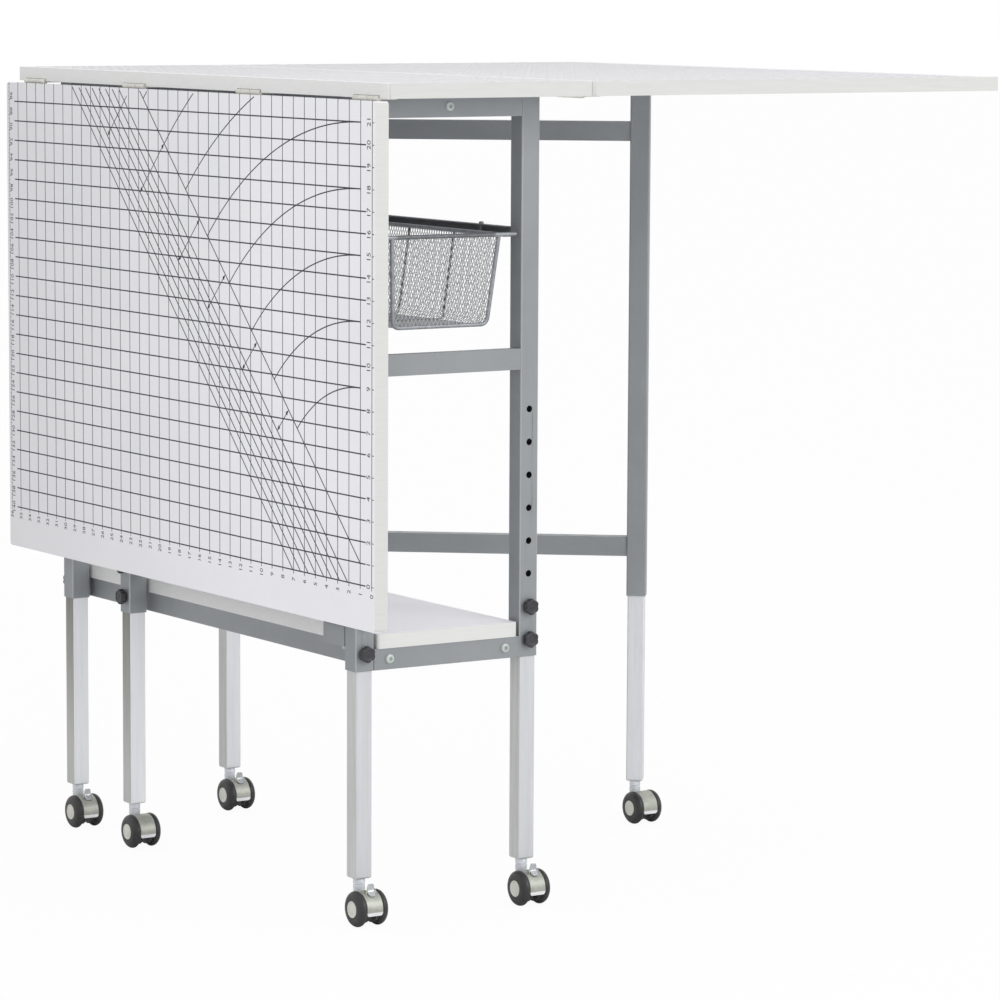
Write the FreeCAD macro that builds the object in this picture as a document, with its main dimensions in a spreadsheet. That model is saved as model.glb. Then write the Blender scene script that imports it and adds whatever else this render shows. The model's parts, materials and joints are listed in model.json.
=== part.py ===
import FreeCAD, Part
import os
import Sketcher

V = FreeCAD.Vector

doc = FreeCAD.newDocument("folding_cutting_table")
sheet = doc.addObject("Spreadsheet::Sheet", "dims")

# Driving dimensions in mm and degrees. The frame is centred on frame_mid in X,
# the boards and the frame are centred on Y = 0, and the floor is Z = 0.
DIMENSIONS = [
    ("frame_mid", -296.65),
    ("board_length", 928),
    ("board_thick", 17.5),
    ("board_corner", 4),
    ("panel_width", 281),
    ("leaf_span", 610),
    ("seam_gap", 2.9),
    ("seam_open", 0.8),
    ("panel_under", 977),
    ("frame_width", 255),
    ("frame_length", 742),
    ("post_side", 25.4),
    ("post_wall", 1.4),
    ("post_bore", 22.6),
    ("post_round", 2),
    ("post_base", 303.5),
    ("pin_first", 324.5),
    ("pin_pitch", 39.7),
    ("pin_count", 8),
    ("pin_bore", 8),
    ("leg_side", 22),
    ("leg_core", 19.4),
    ("leg_round", 1.5),
    ("leg_base", 55),
    ("leg_top", 396),
    ("leg_plug", 36),
    ("foot_round", 2.5),
    ("stem_bore", 9.1),
    ("stem_dia", 9),
    ("stem_depth", 31),
    ("stem_reach", 30),
    ("rail_tall", 25.4),
    ("rail_thin", 12.7),
    ("rail_hollow", 22.6),
    ("rail_thin_hollow", 9.9),
    ("mid_rail_base", 650),
    ("side_rail_offset", 81),
    ("shelf_width", 196),
    ("shelf_length", 745),
    ("shelf_thick", 17.5),
    ("beam_side", 25.4),
    ("bolt_head", 11.5),
    ("bolt_head_tall", 3),
    ("bolt_socket", 5),
    ("stop_dia", 6),
    ("stop_tall", 3),
    ("stop_shank", 4),
    ("stop_at", 290),
    ("stop_in", 5),
    ("gate_pivot_gap", 15),
    ("gate_offset", 0.5),
    ("gate_reach", 531),
    ("gate_swing", 51),
    ("gate_post_top", 976.4),
    ("gate_rail_thick", 20),
    ("gate_rail_hollow", 17.2),
    ("gate_rail_low", 356),
    ("gate_rail_high", 902.5),
    ("gate_rail_nose", 9),
    ("pivot_dia", 8),
    ("pivot_bore", 8.1),
    ("pivot_head", 14),
    ("pivot_nut", 13),
    ("nut_tall", 4.5),
    ("gate_gap", 0.4),
    ("gate_cap", 2),
    ("bracket_long", 48),
    ("bracket_wall", 2),
    ("hinge_long", 56),
    ("hinge_wide", 24),
    ("hinge_plate", 1.5),
    ("hinge_radius", 3),
    ("hinge_pin", 1.5),
    ("hinge_eye", 1.55),
    ("hinge_notch", 3.4),
    ("hinge_notch_long", 58),
    ("comb_inner", 3.5),
    ("comb_tip", 2),
    ("hinge_inner", 144),
    ("hinge_outer", 415),
    ("wheel_radius", 21.5),
    ("trail", 17),
    ("axle_dia", 5),
    ("axle_bore", 5.1),
    ("hood_outer", 21),
    ("hood_inner", 19.8),
    ("hood_wide", 21.6),
    ("neck_dia", 14.5),
    ("web_wide", 8),
    ("neck_gap", 0.4),
    ("neck_long", 27),
    ("hood_skirt", 6.5),
    ("cut_margin", 0.001),
    ("wheel_inner", 18.9),
    ("wheel_face", 20.3),
    ("hub_radius", 10.2),
    ("hub_proud", 0.6),
    ("wheel_gap", 0.4),
    ("tread_flat", 2.6),
    ("dome_in", 2),
    ("dome_down", 4.1),
    ("lever_back", 8.5),
    ("lever_up", 21.5),
    ("lever_wide", 9.6),
    ("lever_gap", 0.4),
    ("lever_pin", 2.3),
    ("lever_bore", 2.4),
    ("ear_thick", 1.4),
    ("ear_long", 4),
    ("ear_drop", 1.2),
    ("knob_dia", 19.6),
    ("knob_tall", 8),
    ("knob_collar", 1.3),
    ("knob_stud", 7.9),
    ("knob_gap", 0.3),
    ("knob_round", 1.4),
    ("knob_lobes", 6),
    ("knob_lap", 0.5),
    ("collar_dia", 12.4),
    ("flute_dia", 7),
    ("flute_offset", 12.3),
    ("runner_base", 807.5),
    ("runner_tall", 12.5),
    ("runner_deep", 10),
    ("runner_wall", 1.5),
    ("runner_long", 695.2),
    ("basket_long", 305),
    ("basket_top", 154),
    ("basket_bottom", 136),
    ("basket_slope", 12.5),
    ("basket_base", 702),
    ("basket_rim", 814.3),
    ("basket_wall", 1.2),
    ("basket_end", 366.5),
    ("rim_wire", 5),
    ("rim_reach", 198),
]

NUM = {}
for index, (alias, value) in enumerate(DIMENSIONS):
    cell = "B%d" % (index + 1)
    sheet.set("A%d" % (index + 1), alias)
    sheet.set(cell, str(value))
    sheet.setAlias(cell, alias)
    NUM[alias] = value
doc.recompute()

NODES = []


def bind(obj, prop, expression):
    """Drive a property from the dimension sheet."""
    obj.setExpression(prop, expression)


def place(obj, x="0", y="0", z="0", turn=None, axis=(0, 0, 1)):
    """Bind a placement to the sheet; turn is an angle in degrees about the axis."""
    angle = 0
    if turn is not None:
        angle = 30
    obj.Placement = FreeCAD.Placement(V(0, 0, 0), FreeCAD.Rotation(V(*axis), angle))
    bind(obj, ".Placement.Base.x", x)
    bind(obj, ".Placement.Base.y", y)
    bind(obj, ".Placement.Base.z", z)
    if turn is not None:
        bind(obj, ".Placement.Rotation.Angle", turn)


def new_body(label, x="0", y="0", z="0", turn=None, axis=(0, 0, 1)):
    """A named body that is exported as one node."""
    body = doc.addObject("PartDesign::Body", label)
    body.Label = label
    place(body, x, y, z, turn, axis)
    NODES.append(body)
    return body


def origin_plane(body, role):
    for feature in body.Origin.OriginFeatures:
        if feature.Role == role:
            return feature
    return None


def new_sketch(body, role, dx=None, dy=None, dz=None):
    """A sketch on an origin plane; dx, dy and dz shift it in its own axes."""
    sketch = body.newObject("Sketcher::SketchObject", body.Label + "_sketch")
    sketch.AttachmentSupport = (origin_plane(body, role), [""])
    sketch.MapMode = "FlatFace"
    if dx is not None:
        bind(sketch, ".AttachmentOffset.Base.x", dx)
    if dy is not None:
        bind(sketch, ".AttachmentOffset.Base.y", dy)
    if dz is not None:
        bind(sketch, ".AttachmentOffset.Base.z", dz)
    return sketch


def draw_rectangle(sketch, wide, tall, size=10.0):
    """A rectangle centred on the sketch origin, with bound width and height."""
    first = sketch.GeometryCount
    corners = [V(-size, -size, 0), V(size, -size, 0), V(size, size, 0), V(-size, size, 0)]
    for k in range(4):
        sketch.addGeometry(Part.LineSegment(corners[k], corners[(k + 1) % 4]), False)
    for k in range(4):
        sketch.addConstraint(
            Sketcher.Constraint("Coincident", first + k, 2, first + (k + 1) % 4, 1))
    sketch.addConstraint(Sketcher.Constraint("Horizontal", first))
    sketch.addConstraint(Sketcher.Constraint("Horizontal", first + 2))
    sketch.addConstraint(Sketcher.Constraint("Vertical", first + 1))
    sketch.addConstraint(Sketcher.Constraint("Vertical", first + 3))
    sketch.addConstraint(Sketcher.Constraint("Symmetric", first, 1, first + 1, 2, -1, 1))
    index = sketch.addConstraint(
        Sketcher.Constraint("DistanceX", first, 1, first, 2, 2 * size))
    bind(sketch, "Constraints[%d]" % index, wide)
    index = sketch.addConstraint(
        Sketcher.Constraint("DistanceY", first + 1, 1, first + 1, 2, 2 * size))
    bind(sketch, "Constraints[%d]" % index, tall)


def draw_circle(sketch, diameter, size=3.0):
    """A circle on the sketch origin with a bound diameter."""
    geo = sketch.addGeometry(Part.Circle(V(0, 0, 0), V(0, 0, 1), size), False)
    sketch.addConstraint(Sketcher.Constraint("Coincident", geo, 3, -1, 1))
    index = sketch.addConstraint(Sketcher.Constraint("Diameter", geo, 2 * size))
    bind(sketch, "Constraints[%d]" % index, diameter)


def draw_polygon(sketch, points):
    """A closed outline of straight lines through fixed points."""
    first = sketch.GeometryCount
    count = len(points)
    for k in range(count):
        a = points[k]
        b = points[(k + 1) % count]
        sketch.addGeometry(Part.LineSegment(V(a[0], a[1], 0), V(b[0], b[1], 0)), False)
    for k in range(count):
        sketch.addConstraint(
            Sketcher.Constraint("Coincident", first + k, 2, first + (k + 1) % count, 1))
    for k in range(count):
        sketch.addConstraint(Sketcher.Constraint("Block", first + k))


def pad(body, sketch, length, both=False, reverse=False):
    feature = body.newObject("PartDesign::Pad", body.Label + "_pad")
    feature.Profile = sketch
    bind(feature, "Length", length)
    if both:
        feature.SideType = "Symmetric"
    feature.Reversed = reverse
    sketch.Visibility = False
    return feature


def pocket(body, sketch, length=None, both=False, reverse=False):
    feature = body.newObject("PartDesign::Pocket", body.Label + "_pocket")
    feature.Profile = sketch
    if length is None:
        feature.Type = "ThroughAll"
    else:
        bind(feature, "Length", length)
    if both:
        feature.SideType = "Symmetric"
    feature.Reversed = reverse
    return feature


def revolve(body, sketch, axis="H_Axis"):
    feature = body.newObject("PartDesign::Revolution", body.Label + "_turn")
    feature.Profile = sketch
    feature.ReferenceAxis = (sketch, [axis])
    feature.Angle = 360
    return feature


def round_edges(body, base, radius, choose):
    """Fillet the edges of base that the choose function picks."""
    doc.recompute()
    names = []
    for number, edge in enumerate(base.Shape.Edges):
        if choose(edge):
            names.append("Edge%d" % (number + 1))
    feature = body.newObject("PartDesign::Fillet", body.Label + "_fillet")
    feature.Base = (base, names)
    bind(feature, "Radius", radius)
    return feature


def is_along(edge, axis):
    """True for a straight edge along one axis."""
    if not isinstance(edge.Curve, (Part.Line, Part.LineSegment)):
        return False
    ends = [vertex.Point for vertex in edge.Vertexes]
    if len(ends) < 2:
        return False
    span = ends[1] - ends[0]
    parts = [abs(span.x), abs(span.y), abs(span.z)]
    parts.pop("XYZ".index(axis))
    return max(parts) < 1e-6


def mirror(body, originals, role):
    feature = body.newObject("PartDesign::Mirrored", body.Label + "_mirror")
    feature.Originals = originals
    feature.MirrorPlane = (origin_plane(body, role), [""])
    body.Tip = feature
    return feature


def repeat(body, original, axis_role, length, count):
    """Repeat a feature along an origin axis at equal steps."""
    feature = body.newObject("PartDesign::LinearPattern", body.Label + "_row")
    feature.Originals = [original]
    feature.Direction = (origin_plane(body, axis_role), [""])
    bind(feature, "Length", length)
    bind(feature, "Occurrences", count)
    body.Tip = feature
    return feature


MID = "dims.frame_mid"
POST_X = "(dims.frame_width - dims.post_side) / 2"
POST_Y = "(dims.frame_length - dims.post_side) / 2"
GATE_X = "((dims.frame_width - dims.post_side) / 2 + dims.gate_offset)"
GATE_Y = "(dims.frame_length / 2 - dims.post_side - dims.gate_pivot_gap)"
SEAM_X = "dims.panel_width / 2"

# The six legs: name, X, Y and the angle of the face that carries the knobs.
LEGS = [
    ("near_left", MID + " - " + POST_X, "-" + POST_Y, "0"),
    ("near_right", MID + " + " + POST_X, "-" + POST_Y, "0"),
    ("far_left", MID + " - " + POST_X, POST_Y, "180"),
    ("far_right", MID + " + " + POST_X, POST_Y, "180"),
    ("left_gate", MID + " - " + GATE_X, "-" + GATE_Y + " + dims.gate_reach", "-90"),
    ("right_gate",
     MID + " + " + GATE_X + " + dims.gate_reach * sin(dims.gate_swing)",
     GATE_Y + " - dims.gate_reach * cos(dims.gate_swing)",
     "90 + dims.gate_swing"),
]
BRAKED = ("near_left", "near_right", "far_left", "far_right")


# ---------------------------------------------------------------- boards

def cut_notches(body, seam_dx):
    """Clear the board around the hinge knuckles along one lower edge."""
    last = None
    for where in ("dims.hinge_inner", "dims.hinge_outer"):
        for sign in ("", "-"):
            notch = new_sketch(body, "YZ_Plane", dx=sign + where, dz=seam_dx)
            draw_rectangle(notch, "dims.hinge_notch_long", "2 * dims.hinge_notch")
            last = pocket(body, notch, "2 * dims.hinge_notch", both=True)
    return last


def make_board(label, wide, long, thick, x, y, z, turn=None, axis=(0, 0, 1), shift=None):
    """A laminate board with rounded corners, lying on its local XY plane."""
    body = new_body(label, x, y, z, turn, axis)
    outline = new_sketch(body, "XY_Plane", dx=shift)
    draw_rectangle(outline, wide, long, 100)
    slab = pad(body, outline, thick)
    body.Tip = round_edges(body, slab, "dims.board_corner", lambda e: is_along(e, "Z"))
    return body


panel = make_board("centre_panel", "dims.panel_width", "dims.board_length",
                   "dims.board_thick", MID, "0", "dims.panel_under")
cut_notches(panel, SEAM_X)
panel.Tip = cut_notches(panel, "-" + SEAM_X)

make_board("shelf_board", "dims.shelf_width", "dims.shelf_length", "dims.shelf_thick",
           MID, "0", "dims.post_base + dims.rail_tall")

# Each leaf is drawn in the open position with its hinge axis on the local Y axis.
LEAVES = [("left_leaf", "-", "-90", "dims.seam_gap"), ("right_leaf", "", None, "dims.seam_open")]
for label, sign, turn, gap in LEAVES:
    leaf = make_board(
        label, "dims.leaf_span", "dims.board_length", "dims.board_thick",
        "%s %s %s" % (MID, sign or "+", SEAM_X), "0", "dims.panel_under",
        turn, (0, 1, 0), "%s(%s + dims.leaf_span / 2)" % (sign, gap))
    leaf.Tip = cut_notches(leaf, "0 mm")


# ---------------------------------------------------------------- leaf hinges

KNUCKLE = NUM["hinge_long"] / 5.0
EASE = 0.15
FIXED_SLOTS = (-2, 0, 2)
MOVING_SLOTS = (-1, 1)


def comb_points(slots, side):
    """Outline of a hinge plate with tabs that reach its own knuckles."""
    half = NUM["hinge_long"] / 2.0
    inner = NUM["comb_inner"]
    tip = NUM["comb_tip"]
    points = [(NUM["hinge_wide"], -half), (NUM["hinge_wide"], half), (inner, half)]
    for slot in sorted(slots, reverse=True):
        top = (slot + 0.5) * KNUCKLE - 2 * EASE
        low = (slot - 0.5) * KNUCKLE + 2 * EASE
        points += [(inner, top), (tip, top), (tip, low), (inner, low)]
    points.append((inner, -half))
    return [(side * px, py) for px, py in points]


def fixed_knuckle_points(side):
    """Half section of the pin with its three fixed knuckles."""
    half = NUM["hinge_long"] / 2.0
    points = [(0, -half)]
    for slot in FIXED_SLOTS:
        low = max((slot - 0.5) * KNUCKLE + EASE, -half)
        top = min((slot + 0.5) * KNUCKLE - EASE, half)
        if slot != -2:
            points.append((NUM["hinge_pin"], low))
        points += [(NUM["hinge_radius"], low), (NUM["hinge_radius"], top)]
        if slot != 2:
            points.append((NUM["hinge_pin"], top))
    points.append((0, points[-1][1]))
    points[0] = (0, points[1][1])
    return [(side * px, py) for px, py in points]


def ring_points(slot, side):
    """Half section of one moving knuckle around the pin."""
    low = (slot - 0.5) * KNUCKLE + EASE
    top = (slot + 0.5) * KNUCKLE - EASE
    rings = [(NUM["hinge_eye"], low), (NUM["hinge_radius"], low),
             (NUM["hinge_radius"], top), (NUM["hinge_eye"], top)]
    return [(side * px, py) for px, py in rings]


def add_hinge_row(body, slots, side, seam_dx, fixed):
    """Four hinge plates and their knuckles along one seam."""
    features = []
    for where in ("dims.hinge_inner", "dims.hinge_outer"):
        for sign in ("", "-"):
            plate = new_sketch(body, "XY_Plane", dx=seam_dx, dy=sign + where)
            draw_polygon(plate, comb_points(slots, side))
            features.append(pad(body, plate, "dims.hinge_plate", reverse=True))
            if fixed:
                section = new_sketch(body, "XY_Plane", dx=seam_dx, dy=sign + where)
                draw_polygon(section, fixed_knuckle_points(side))
                features.append(revolve(body, section, axis="V_Axis"))
            else:
                for slot in slots:
                    section = new_sketch(body, "XY_Plane", dx=seam_dx, dy=sign + where)
                    draw_polygon(section, ring_points(slot, side))
                    features.append(revolve(body, section, axis="V_Axis"))
    return features


panel_hinges = new_body("panel_hinges", MID, "0", "dims.panel_under")
hinge_row = add_hinge_row(panel_hinges, FIXED_SLOTS, -1, SEAM_X, True)
mirror(panel_hinges, hinge_row, "YZ_Plane")

for label, sign, turn, gap in LEAVES:
    side = -1 if sign else 1
    hinge_body = new_body(label + "_hinges", "%s %s %s" % (MID, sign or "+", SEAM_X), "0",
                          "dims.panel_under", turn, (0, 1, 0))
    add_hinge_row(hinge_body, MOVING_SLOTS, side, "0 mm", False)


# ---------------------------------------------------------------- posts and legs

def make_post(name, x, y, turn, top, closed):
    """A square tube with a row of height holes in its local -Y face."""
    body = new_body("post_" + name, x, y, "dims.post_base", turn)
    outline = new_sketch(body, "XY_Plane")
    draw_rectangle(outline, "dims.post_side", "dims.post_side")
    bar = pad(body, outline, top + " - dims.post_base")
    round_edges(body, bar, "dims.post_round", lambda e: is_along(e, "Z"))
    core = new_sketch(body, "XY_Plane")
    draw_rectangle(core, "dims.post_bore", "dims.post_bore")
    depth = top + " - dims.post_base"
    if closed:
        depth += " - dims.bracket_wall"
    pocket(body, core, depth, reverse=True)
    hole = new_sketch(body, "XZ_Plane", dy="dims.pin_first - dims.post_base",
                      dz="dims.post_side / 2")
    draw_circle(hole, "dims.pin_bore")
    drill = pocket(body, hole, "dims.post_side / 2")
    repeat(body, drill, "Z_Axis", "(dims.pin_count - 1) * dims.pin_pitch",
           "dims.pin_count")


def make_leg(name, x, y, turn):
    """The telescoping inner leg with its plugged foot and stem socket."""
    body = new_body("leg_" + name, x, y, "dims.leg_base", turn)
    outline = new_sketch(body, "XY_Plane")
    draw_rectangle(outline, "dims.leg_side", "dims.leg_side")
    bar = pad(body, outline, "dims.leg_top - dims.leg_base")
    rounded = round_edges(body, bar, "dims.leg_round", lambda e: is_along(e, "Z"))
    round_edges(body, rounded, "dims.foot_round",
                lambda e: abs(e.BoundBox.ZMax - 0) < 1e-6)
    core = new_sketch(body, "XY_Plane", dz="dims.leg_plug")
    draw_rectangle(core, "dims.leg_core", "dims.leg_core")
    pocket(body, core, "dims.leg_top - dims.leg_base", reverse=True)
    socket = new_sketch(body, "XY_Plane")
    draw_circle(socket, "dims.stem_bore")
    pocket(body, socket, "dims.stem_depth", reverse=True)
    hole = new_sketch(body, "XZ_Plane", dy="dims.pin_first - dims.leg_base",
                      dz="dims.leg_side / 2")
    draw_circle(hole, "dims.pin_bore")
    drill = pocket(body, hole, "dims.leg_side / 2")
    repeat(body, drill, "Z_Axis", "dims.pin_pitch", "2")


for name, x, y, turn in LEGS:
    if name.endswith("gate"):
        make_post(name, x, y, turn, "dims.gate_post_top", True)
    else:
        make_post(name, x, y, turn, "dims.panel_under", False)
    make_leg(name, x, y, turn)


# ---------------------------------------------------------------- fixed rails

def tube_profile(body, role, wide, tall, hollow_wide, hollow_tall, dx, dy, dz=None):
    """A rectangular tube section."""
    section = new_sketch(body, role, dx=dx, dy=dy, dz=dz)
    draw_rectangle(section, wide, tall, 10.0)
    draw_rectangle(section, hollow_wide, hollow_tall, 4.0)
    return section


RAIL_LEVELS = [
    "dims.post_base + dims.rail_tall / 2",
    "dims.mid_rail_base + dims.rail_tall / 2",
    "dims.panel_under - dims.rail_tall / 2",
]

for name, sign in (("near", "-"), ("far", "")):
    rails = new_body("end_rails_" + name, MID,
                     sign + "(dims.frame_length - dims.rail_thin) / 2", "0")
    for level in RAIL_LEVELS:
        section = tube_profile(rails, "YZ_Plane", "dims.rail_thin", "dims.rail_tall",
                               "dims.rail_thin_hollow", "dims.rail_hollow", "0 mm", level)
        pad(rails, section, "dims.frame_width - 2 * dims.post_side", both=True)

LONG_RAIL = "dims.frame_length - 2 * dims.rail_thin"

side_rails = new_body("side_rails", MID, "0", "dims.post_base + dims.rail_tall / 2")
for sign in ("", "-"):
    section = tube_profile(side_rails, "XZ_Plane", "dims.rail_tall", "dims.rail_tall",
                           "dims.rail_hollow", "dims.rail_hollow",
                           sign + "dims.side_rail_offset", "0 mm")
    pad(side_rails, section, LONG_RAIL, both=True)

centre_beam = new_body("centre_beam", MID, "0", "dims.panel_under - dims.rail_tall / 2")
section = tube_profile(centre_beam, "XZ_Plane", "dims.beam_side", "dims.rail_tall",
                       "dims.rail_hollow", "dims.rail_hollow", "0 mm", "0 mm")
pad(centre_beam, section, LONG_RAIL, both=True)

# The channels that carry the basket rims, one on each side of the frame.
runners = new_body("basket_runners", MID, "0", "dims.runner_base")
deep = NUM["runner_deep"]
tall = NUM["runner_tall"]
wall = NUM["runner_wall"]
channel_points = [
    (0, 0), (0, tall), (-deep, tall), (-deep, tall - wall), (-wall, tall - wall),
    (-wall, wall), (-deep, wall), (-deep, 0),
]
section = new_sketch(runners, "XZ_Plane", dx="dims.frame_width / 2 - dims.post_side")
draw_polygon(section, channel_points)
channel = pad(runners, section, "dims.runner_long", both=True)
mirror(runners, [channel], "YZ_Plane")


# ---------------------------------------------------------------- frame bolts

frame_bolts = new_body("frame_bolts", MID, "0", "0")
heads = []
BOLTS = [
    ("dims.side_rail_offset", RAIL_LEVELS[0]),
    ("-dims.side_rail_offset", RAIL_LEVELS[0]),
    ("0 mm", RAIL_LEVELS[2]),
]
for bx, bz in BOLTS:
    disc = new_sketch(frame_bolts, "XZ_Plane", dx=bx, dy=bz, dz="dims.frame_length / 2")
    draw_circle(disc, "dims.bolt_head")
    heads.append(pad(frame_bolts, disc, "dims.bolt_head_tall"))
    key = new_sketch(frame_bolts, "XZ_Plane", dx=bx, dy=bz,
                     dz="dims.frame_length / 2 + dims.bolt_head_tall")
    draw_circle(key, "dims.bolt_socket", size=2.0)
    heads.append(pocket(frame_bolts, key, "dims.bolt_head_tall * 0.6"))
STOP_X = "(dims.frame_width / 2 - dims.post_side - dims.stop_in)"
for sign in ("", "-"):
    stop = new_sketch(frame_bolts, "XY_Plane", dx=sign + STOP_X, dy="-dims.stop_at",
                      dz="dims.runner_base + dims.runner_tall")
    draw_circle(stop, "dims.stop_dia")
    heads.append(pad(frame_bolts, stop, "dims.stop_tall"))
    # The shank stands in the channel, in the way of the basket's end wires.
    shank = new_sketch(frame_bolts, "XY_Plane", dx=sign + STOP_X, dy="-dims.stop_at",
                       dz="dims.runner_base + dims.runner_wall")
    draw_circle(shank, "dims.stop_shank")
    heads.append(pad(frame_bolts, shank, "dims.runner_tall - 2 * dims.runner_wall"))
mirror(frame_bolts, heads, "XZ_Plane")


# ---------------------------------------------------------------- swing gates

LOW_BRACKET = "(dims.gate_rail_low - dims.gate_gap - dims.rail_tall)"
HIGH_BRACKET = "(dims.gate_rail_high + dims.rail_tall + dims.gate_gap)"


def make_brackets(label, x, y, turn):
    """Two box brackets with the pivot bolts that carry one gate."""
    body = new_body(label, x, y, "0", turn)
    for low, head_at, nut_at in (
            (LOW_BRACKET, "dims.gate_rail_low + dims.rail_tall + dims.gate_gap",
             LOW_BRACKET + " - dims.nut_tall"),
            (HIGH_BRACKET, "dims.gate_rail_high - dims.gate_gap - dims.nut_tall",
             HIGH_BRACKET + " + dims.rail_tall")):
        ring = tube_profile(body, "XZ_Plane", "dims.post_side", "dims.rail_tall",
                            "dims.post_side - 2 * dims.bracket_wall",
                            "dims.rail_tall - 2 * dims.bracket_wall",
                            "0 mm", low + " + dims.rail_tall / 2",
                            "-dims.gate_pivot_gap")
        pad(body, ring, "dims.bracket_long")
        shank = new_sketch(body, "XY_Plane", dz="min(%s; %s)" % (head_at, nut_at))
        draw_circle(shank, "dims.pivot_dia")
        pad(body, shank, "max(%s; %s) - min(%s; %s) + dims.nut_tall"
            % (head_at, nut_at, head_at, nut_at))
        cap = new_sketch(body, "XY_Plane", dz=head_at)
        draw_circle(cap, "dims.pivot_head", size=6)
        pad(body, cap, "dims.nut_tall")
        nut = new_sketch(body, "XY_Plane", dz=nut_at)
        draw_circle(nut, "dims.pivot_nut", size=6)
        pad(body, nut, "dims.nut_tall")


def make_gate_rails(label, x, y, turn):
    """The two horizontal tubes of a gate, bored for the pivot bolts."""
    body = new_body(label, x, y, "0", turn)
    for level in ("dims.gate_rail_low", "dims.gate_rail_high"):
        section = tube_profile(body, "XZ_Plane", "dims.gate_rail_thick", "dims.rail_tall",
                               "dims.gate_rail_hollow", "dims.rail_hollow",
                               "0 mm", level + " + dims.rail_tall / 2",
                               "-dims.gate_rail_nose")
        pad(body, section,
            "dims.gate_rail_nose + dims.gate_reach - dims.post_side / 2")
        cap = new_sketch(body, "XZ_Plane", dy=level + " + dims.rail_tall / 2",
                         dz="-dims.gate_rail_nose")
        draw_rectangle(cap, "dims.gate_rail_thick", "dims.rail_tall")
        pad(body, cap, "dims.gate_cap")
    eye = new_sketch(body, "XY_Plane")
    draw_circle(eye, "dims.pivot_bore")
    body.Tip = pocket(body, eye, reverse=True)


make_brackets("gate_brackets_left", MID + " - " + GATE_X, "-" + GATE_Y, "180")
make_brackets("gate_brackets_right", MID + " + " + GATE_X, GATE_Y, None)
make_gate_rails("gate_rails_left", MID + " - " + GATE_X, "-" + GATE_Y, "180")
make_gate_rails("gate_rails_right", MID + " + " + GATE_X, GATE_Y, "dims.gate_swing")


# ---------------------------------------------------------------- casters

AXLE_Z = "(dims.wheel_radius - dims.leg_base)"


def make_caster(name, x, y, braked):
    """The swivelling chrome housing: stem, neck, centre web and wheel hood."""
    body = new_body("caster_" + name, x, y, "dims.leg_base")
    shell = new_sketch(body, "YZ_Plane", dx="-dims.trail", dy=AXLE_Z)
    draw_circle(shell, "2 * dims.hood_outer")
    pad(body, shell, "dims.hood_wide", both=True)
    neck = new_sketch(body, "XY_Plane", dz="-dims.neck_gap")
    draw_circle(neck, "dims.neck_dia")
    pad(body, neck, "dims.neck_long", reverse=True)
    for sign in ("", "-"):
        side = new_sketch(body, "YZ_Plane", dx="-dims.trail", dy=AXLE_Z,
                          dz="%s(dims.web_wide / 4 + dims.hood_wide / 4)" % sign)
        draw_circle(side, "2 * dims.hood_inner")
        pocket(body, side, "dims.hood_wide / 2 - dims.web_wide / 2 + dims.cut_margin", both=True)
    under = new_sketch(body, "YZ_Plane", dx="-dims.trail",
                       dy=AXLE_Z + " - dims.hood_skirt - dims.hood_outer")
    draw_rectangle(under, "4 * dims.hood_outer", "2 * dims.hood_outer")
    pocket(body, under, "2 * dims.hood_wide", both=True)
    stem = new_sketch(body, "XY_Plane", dz="-dims.neck_gap")
    draw_circle(stem, "dims.stem_dia")
    pad(body, stem, "dims.stem_reach + dims.neck_gap")
    if braked:
        for sign in ("", "-"):
            ear = new_sketch(body, "YZ_Plane", dx="-dims.trail - dims.lever_back",
                             dy=AXLE_Z + " + dims.lever_up - dims.ear_drop / 2",
                             dz="%s(dims.lever_wide / 2 + dims.lever_gap + dims.ear_thick / 2)"
                             % sign)
            draw_rectangle(ear, "dims.ear_long", "dims.ear_long + dims.ear_drop")
            pad(body, ear, "dims.ear_thick", both=True)
        pin_hole = new_sketch(body, "YZ_Plane", dx="-dims.trail - dims.lever_back",
                              dy=AXLE_Z + " + dims.lever_up")
        draw_circle(pin_hole, "dims.lever_bore", size=1.0)
        pocket(body, pin_hole, "dims.hood_wide", both=True)
    axle = new_sketch(body, "YZ_Plane", dx="-dims.trail", dy=AXLE_Z)
    draw_circle(axle, "dims.axle_bore")
    body.Tip = pocket(body, axle, "2 * dims.web_wide", both=True)


def make_wheels(name, x, y):
    """A pair of domed wheels on one axle, turned about the local X axis."""
    body = new_body("wheels_" + name, x, y + " - dims.trail", "dims.wheel_radius")
    radius = NUM["wheel_radius"]
    inner = NUM["wheel_inner"]
    face = NUM["wheel_face"]
    hub = NUM["hub_radius"]
    pin = NUM["axle_dia"] / 2.0
    flange = NUM["web_wide"] / 2.0 + NUM["wheel_gap"]
    step = NUM["hood_wide"] / 2.0 + NUM["wheel_gap"]
    tread = step + NUM["tread_flat"]
    boss = face + NUM["hub_proud"]
    section = new_sketch(body, "XY_Plane")
    outline = [(-boss, 0), (-boss, hub), (-face, hub), "dome",
               (-tread, radius), (-step, radius), (-step, inner), (-flange, inner),
               (-flange, pin), (flange, pin), (flange, inner), (step, inner),
               (step, radius), (tread, radius), "dome", (face, hub),
               (boss, hub), (boss, 0)]
    edges = 0
    count = len(outline)
    for k in range(count):
        here = outline[k]
        after = outline[(k + 1) % count]
        if here == "dome":
            continue
        if after == "dome":
            after = outline[k + 2]
            side = -1 if here[0] < 0 else 1
            middle = V(side * (face - NUM["dome_in"]), radius - NUM["dome_down"], 0)
            sketch_edge = Part.Arc(V(here[0], here[1], 0), middle, V(after[0], after[1], 0))
        else:
            sketch_edge = Part.LineSegment(V(here[0], here[1], 0), V(after[0], after[1], 0))
        section.addGeometry(sketch_edge, False)
        section.addConstraint(Sketcher.Constraint("Block", edges))
        edges += 1
    revolve(body, section)


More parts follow.
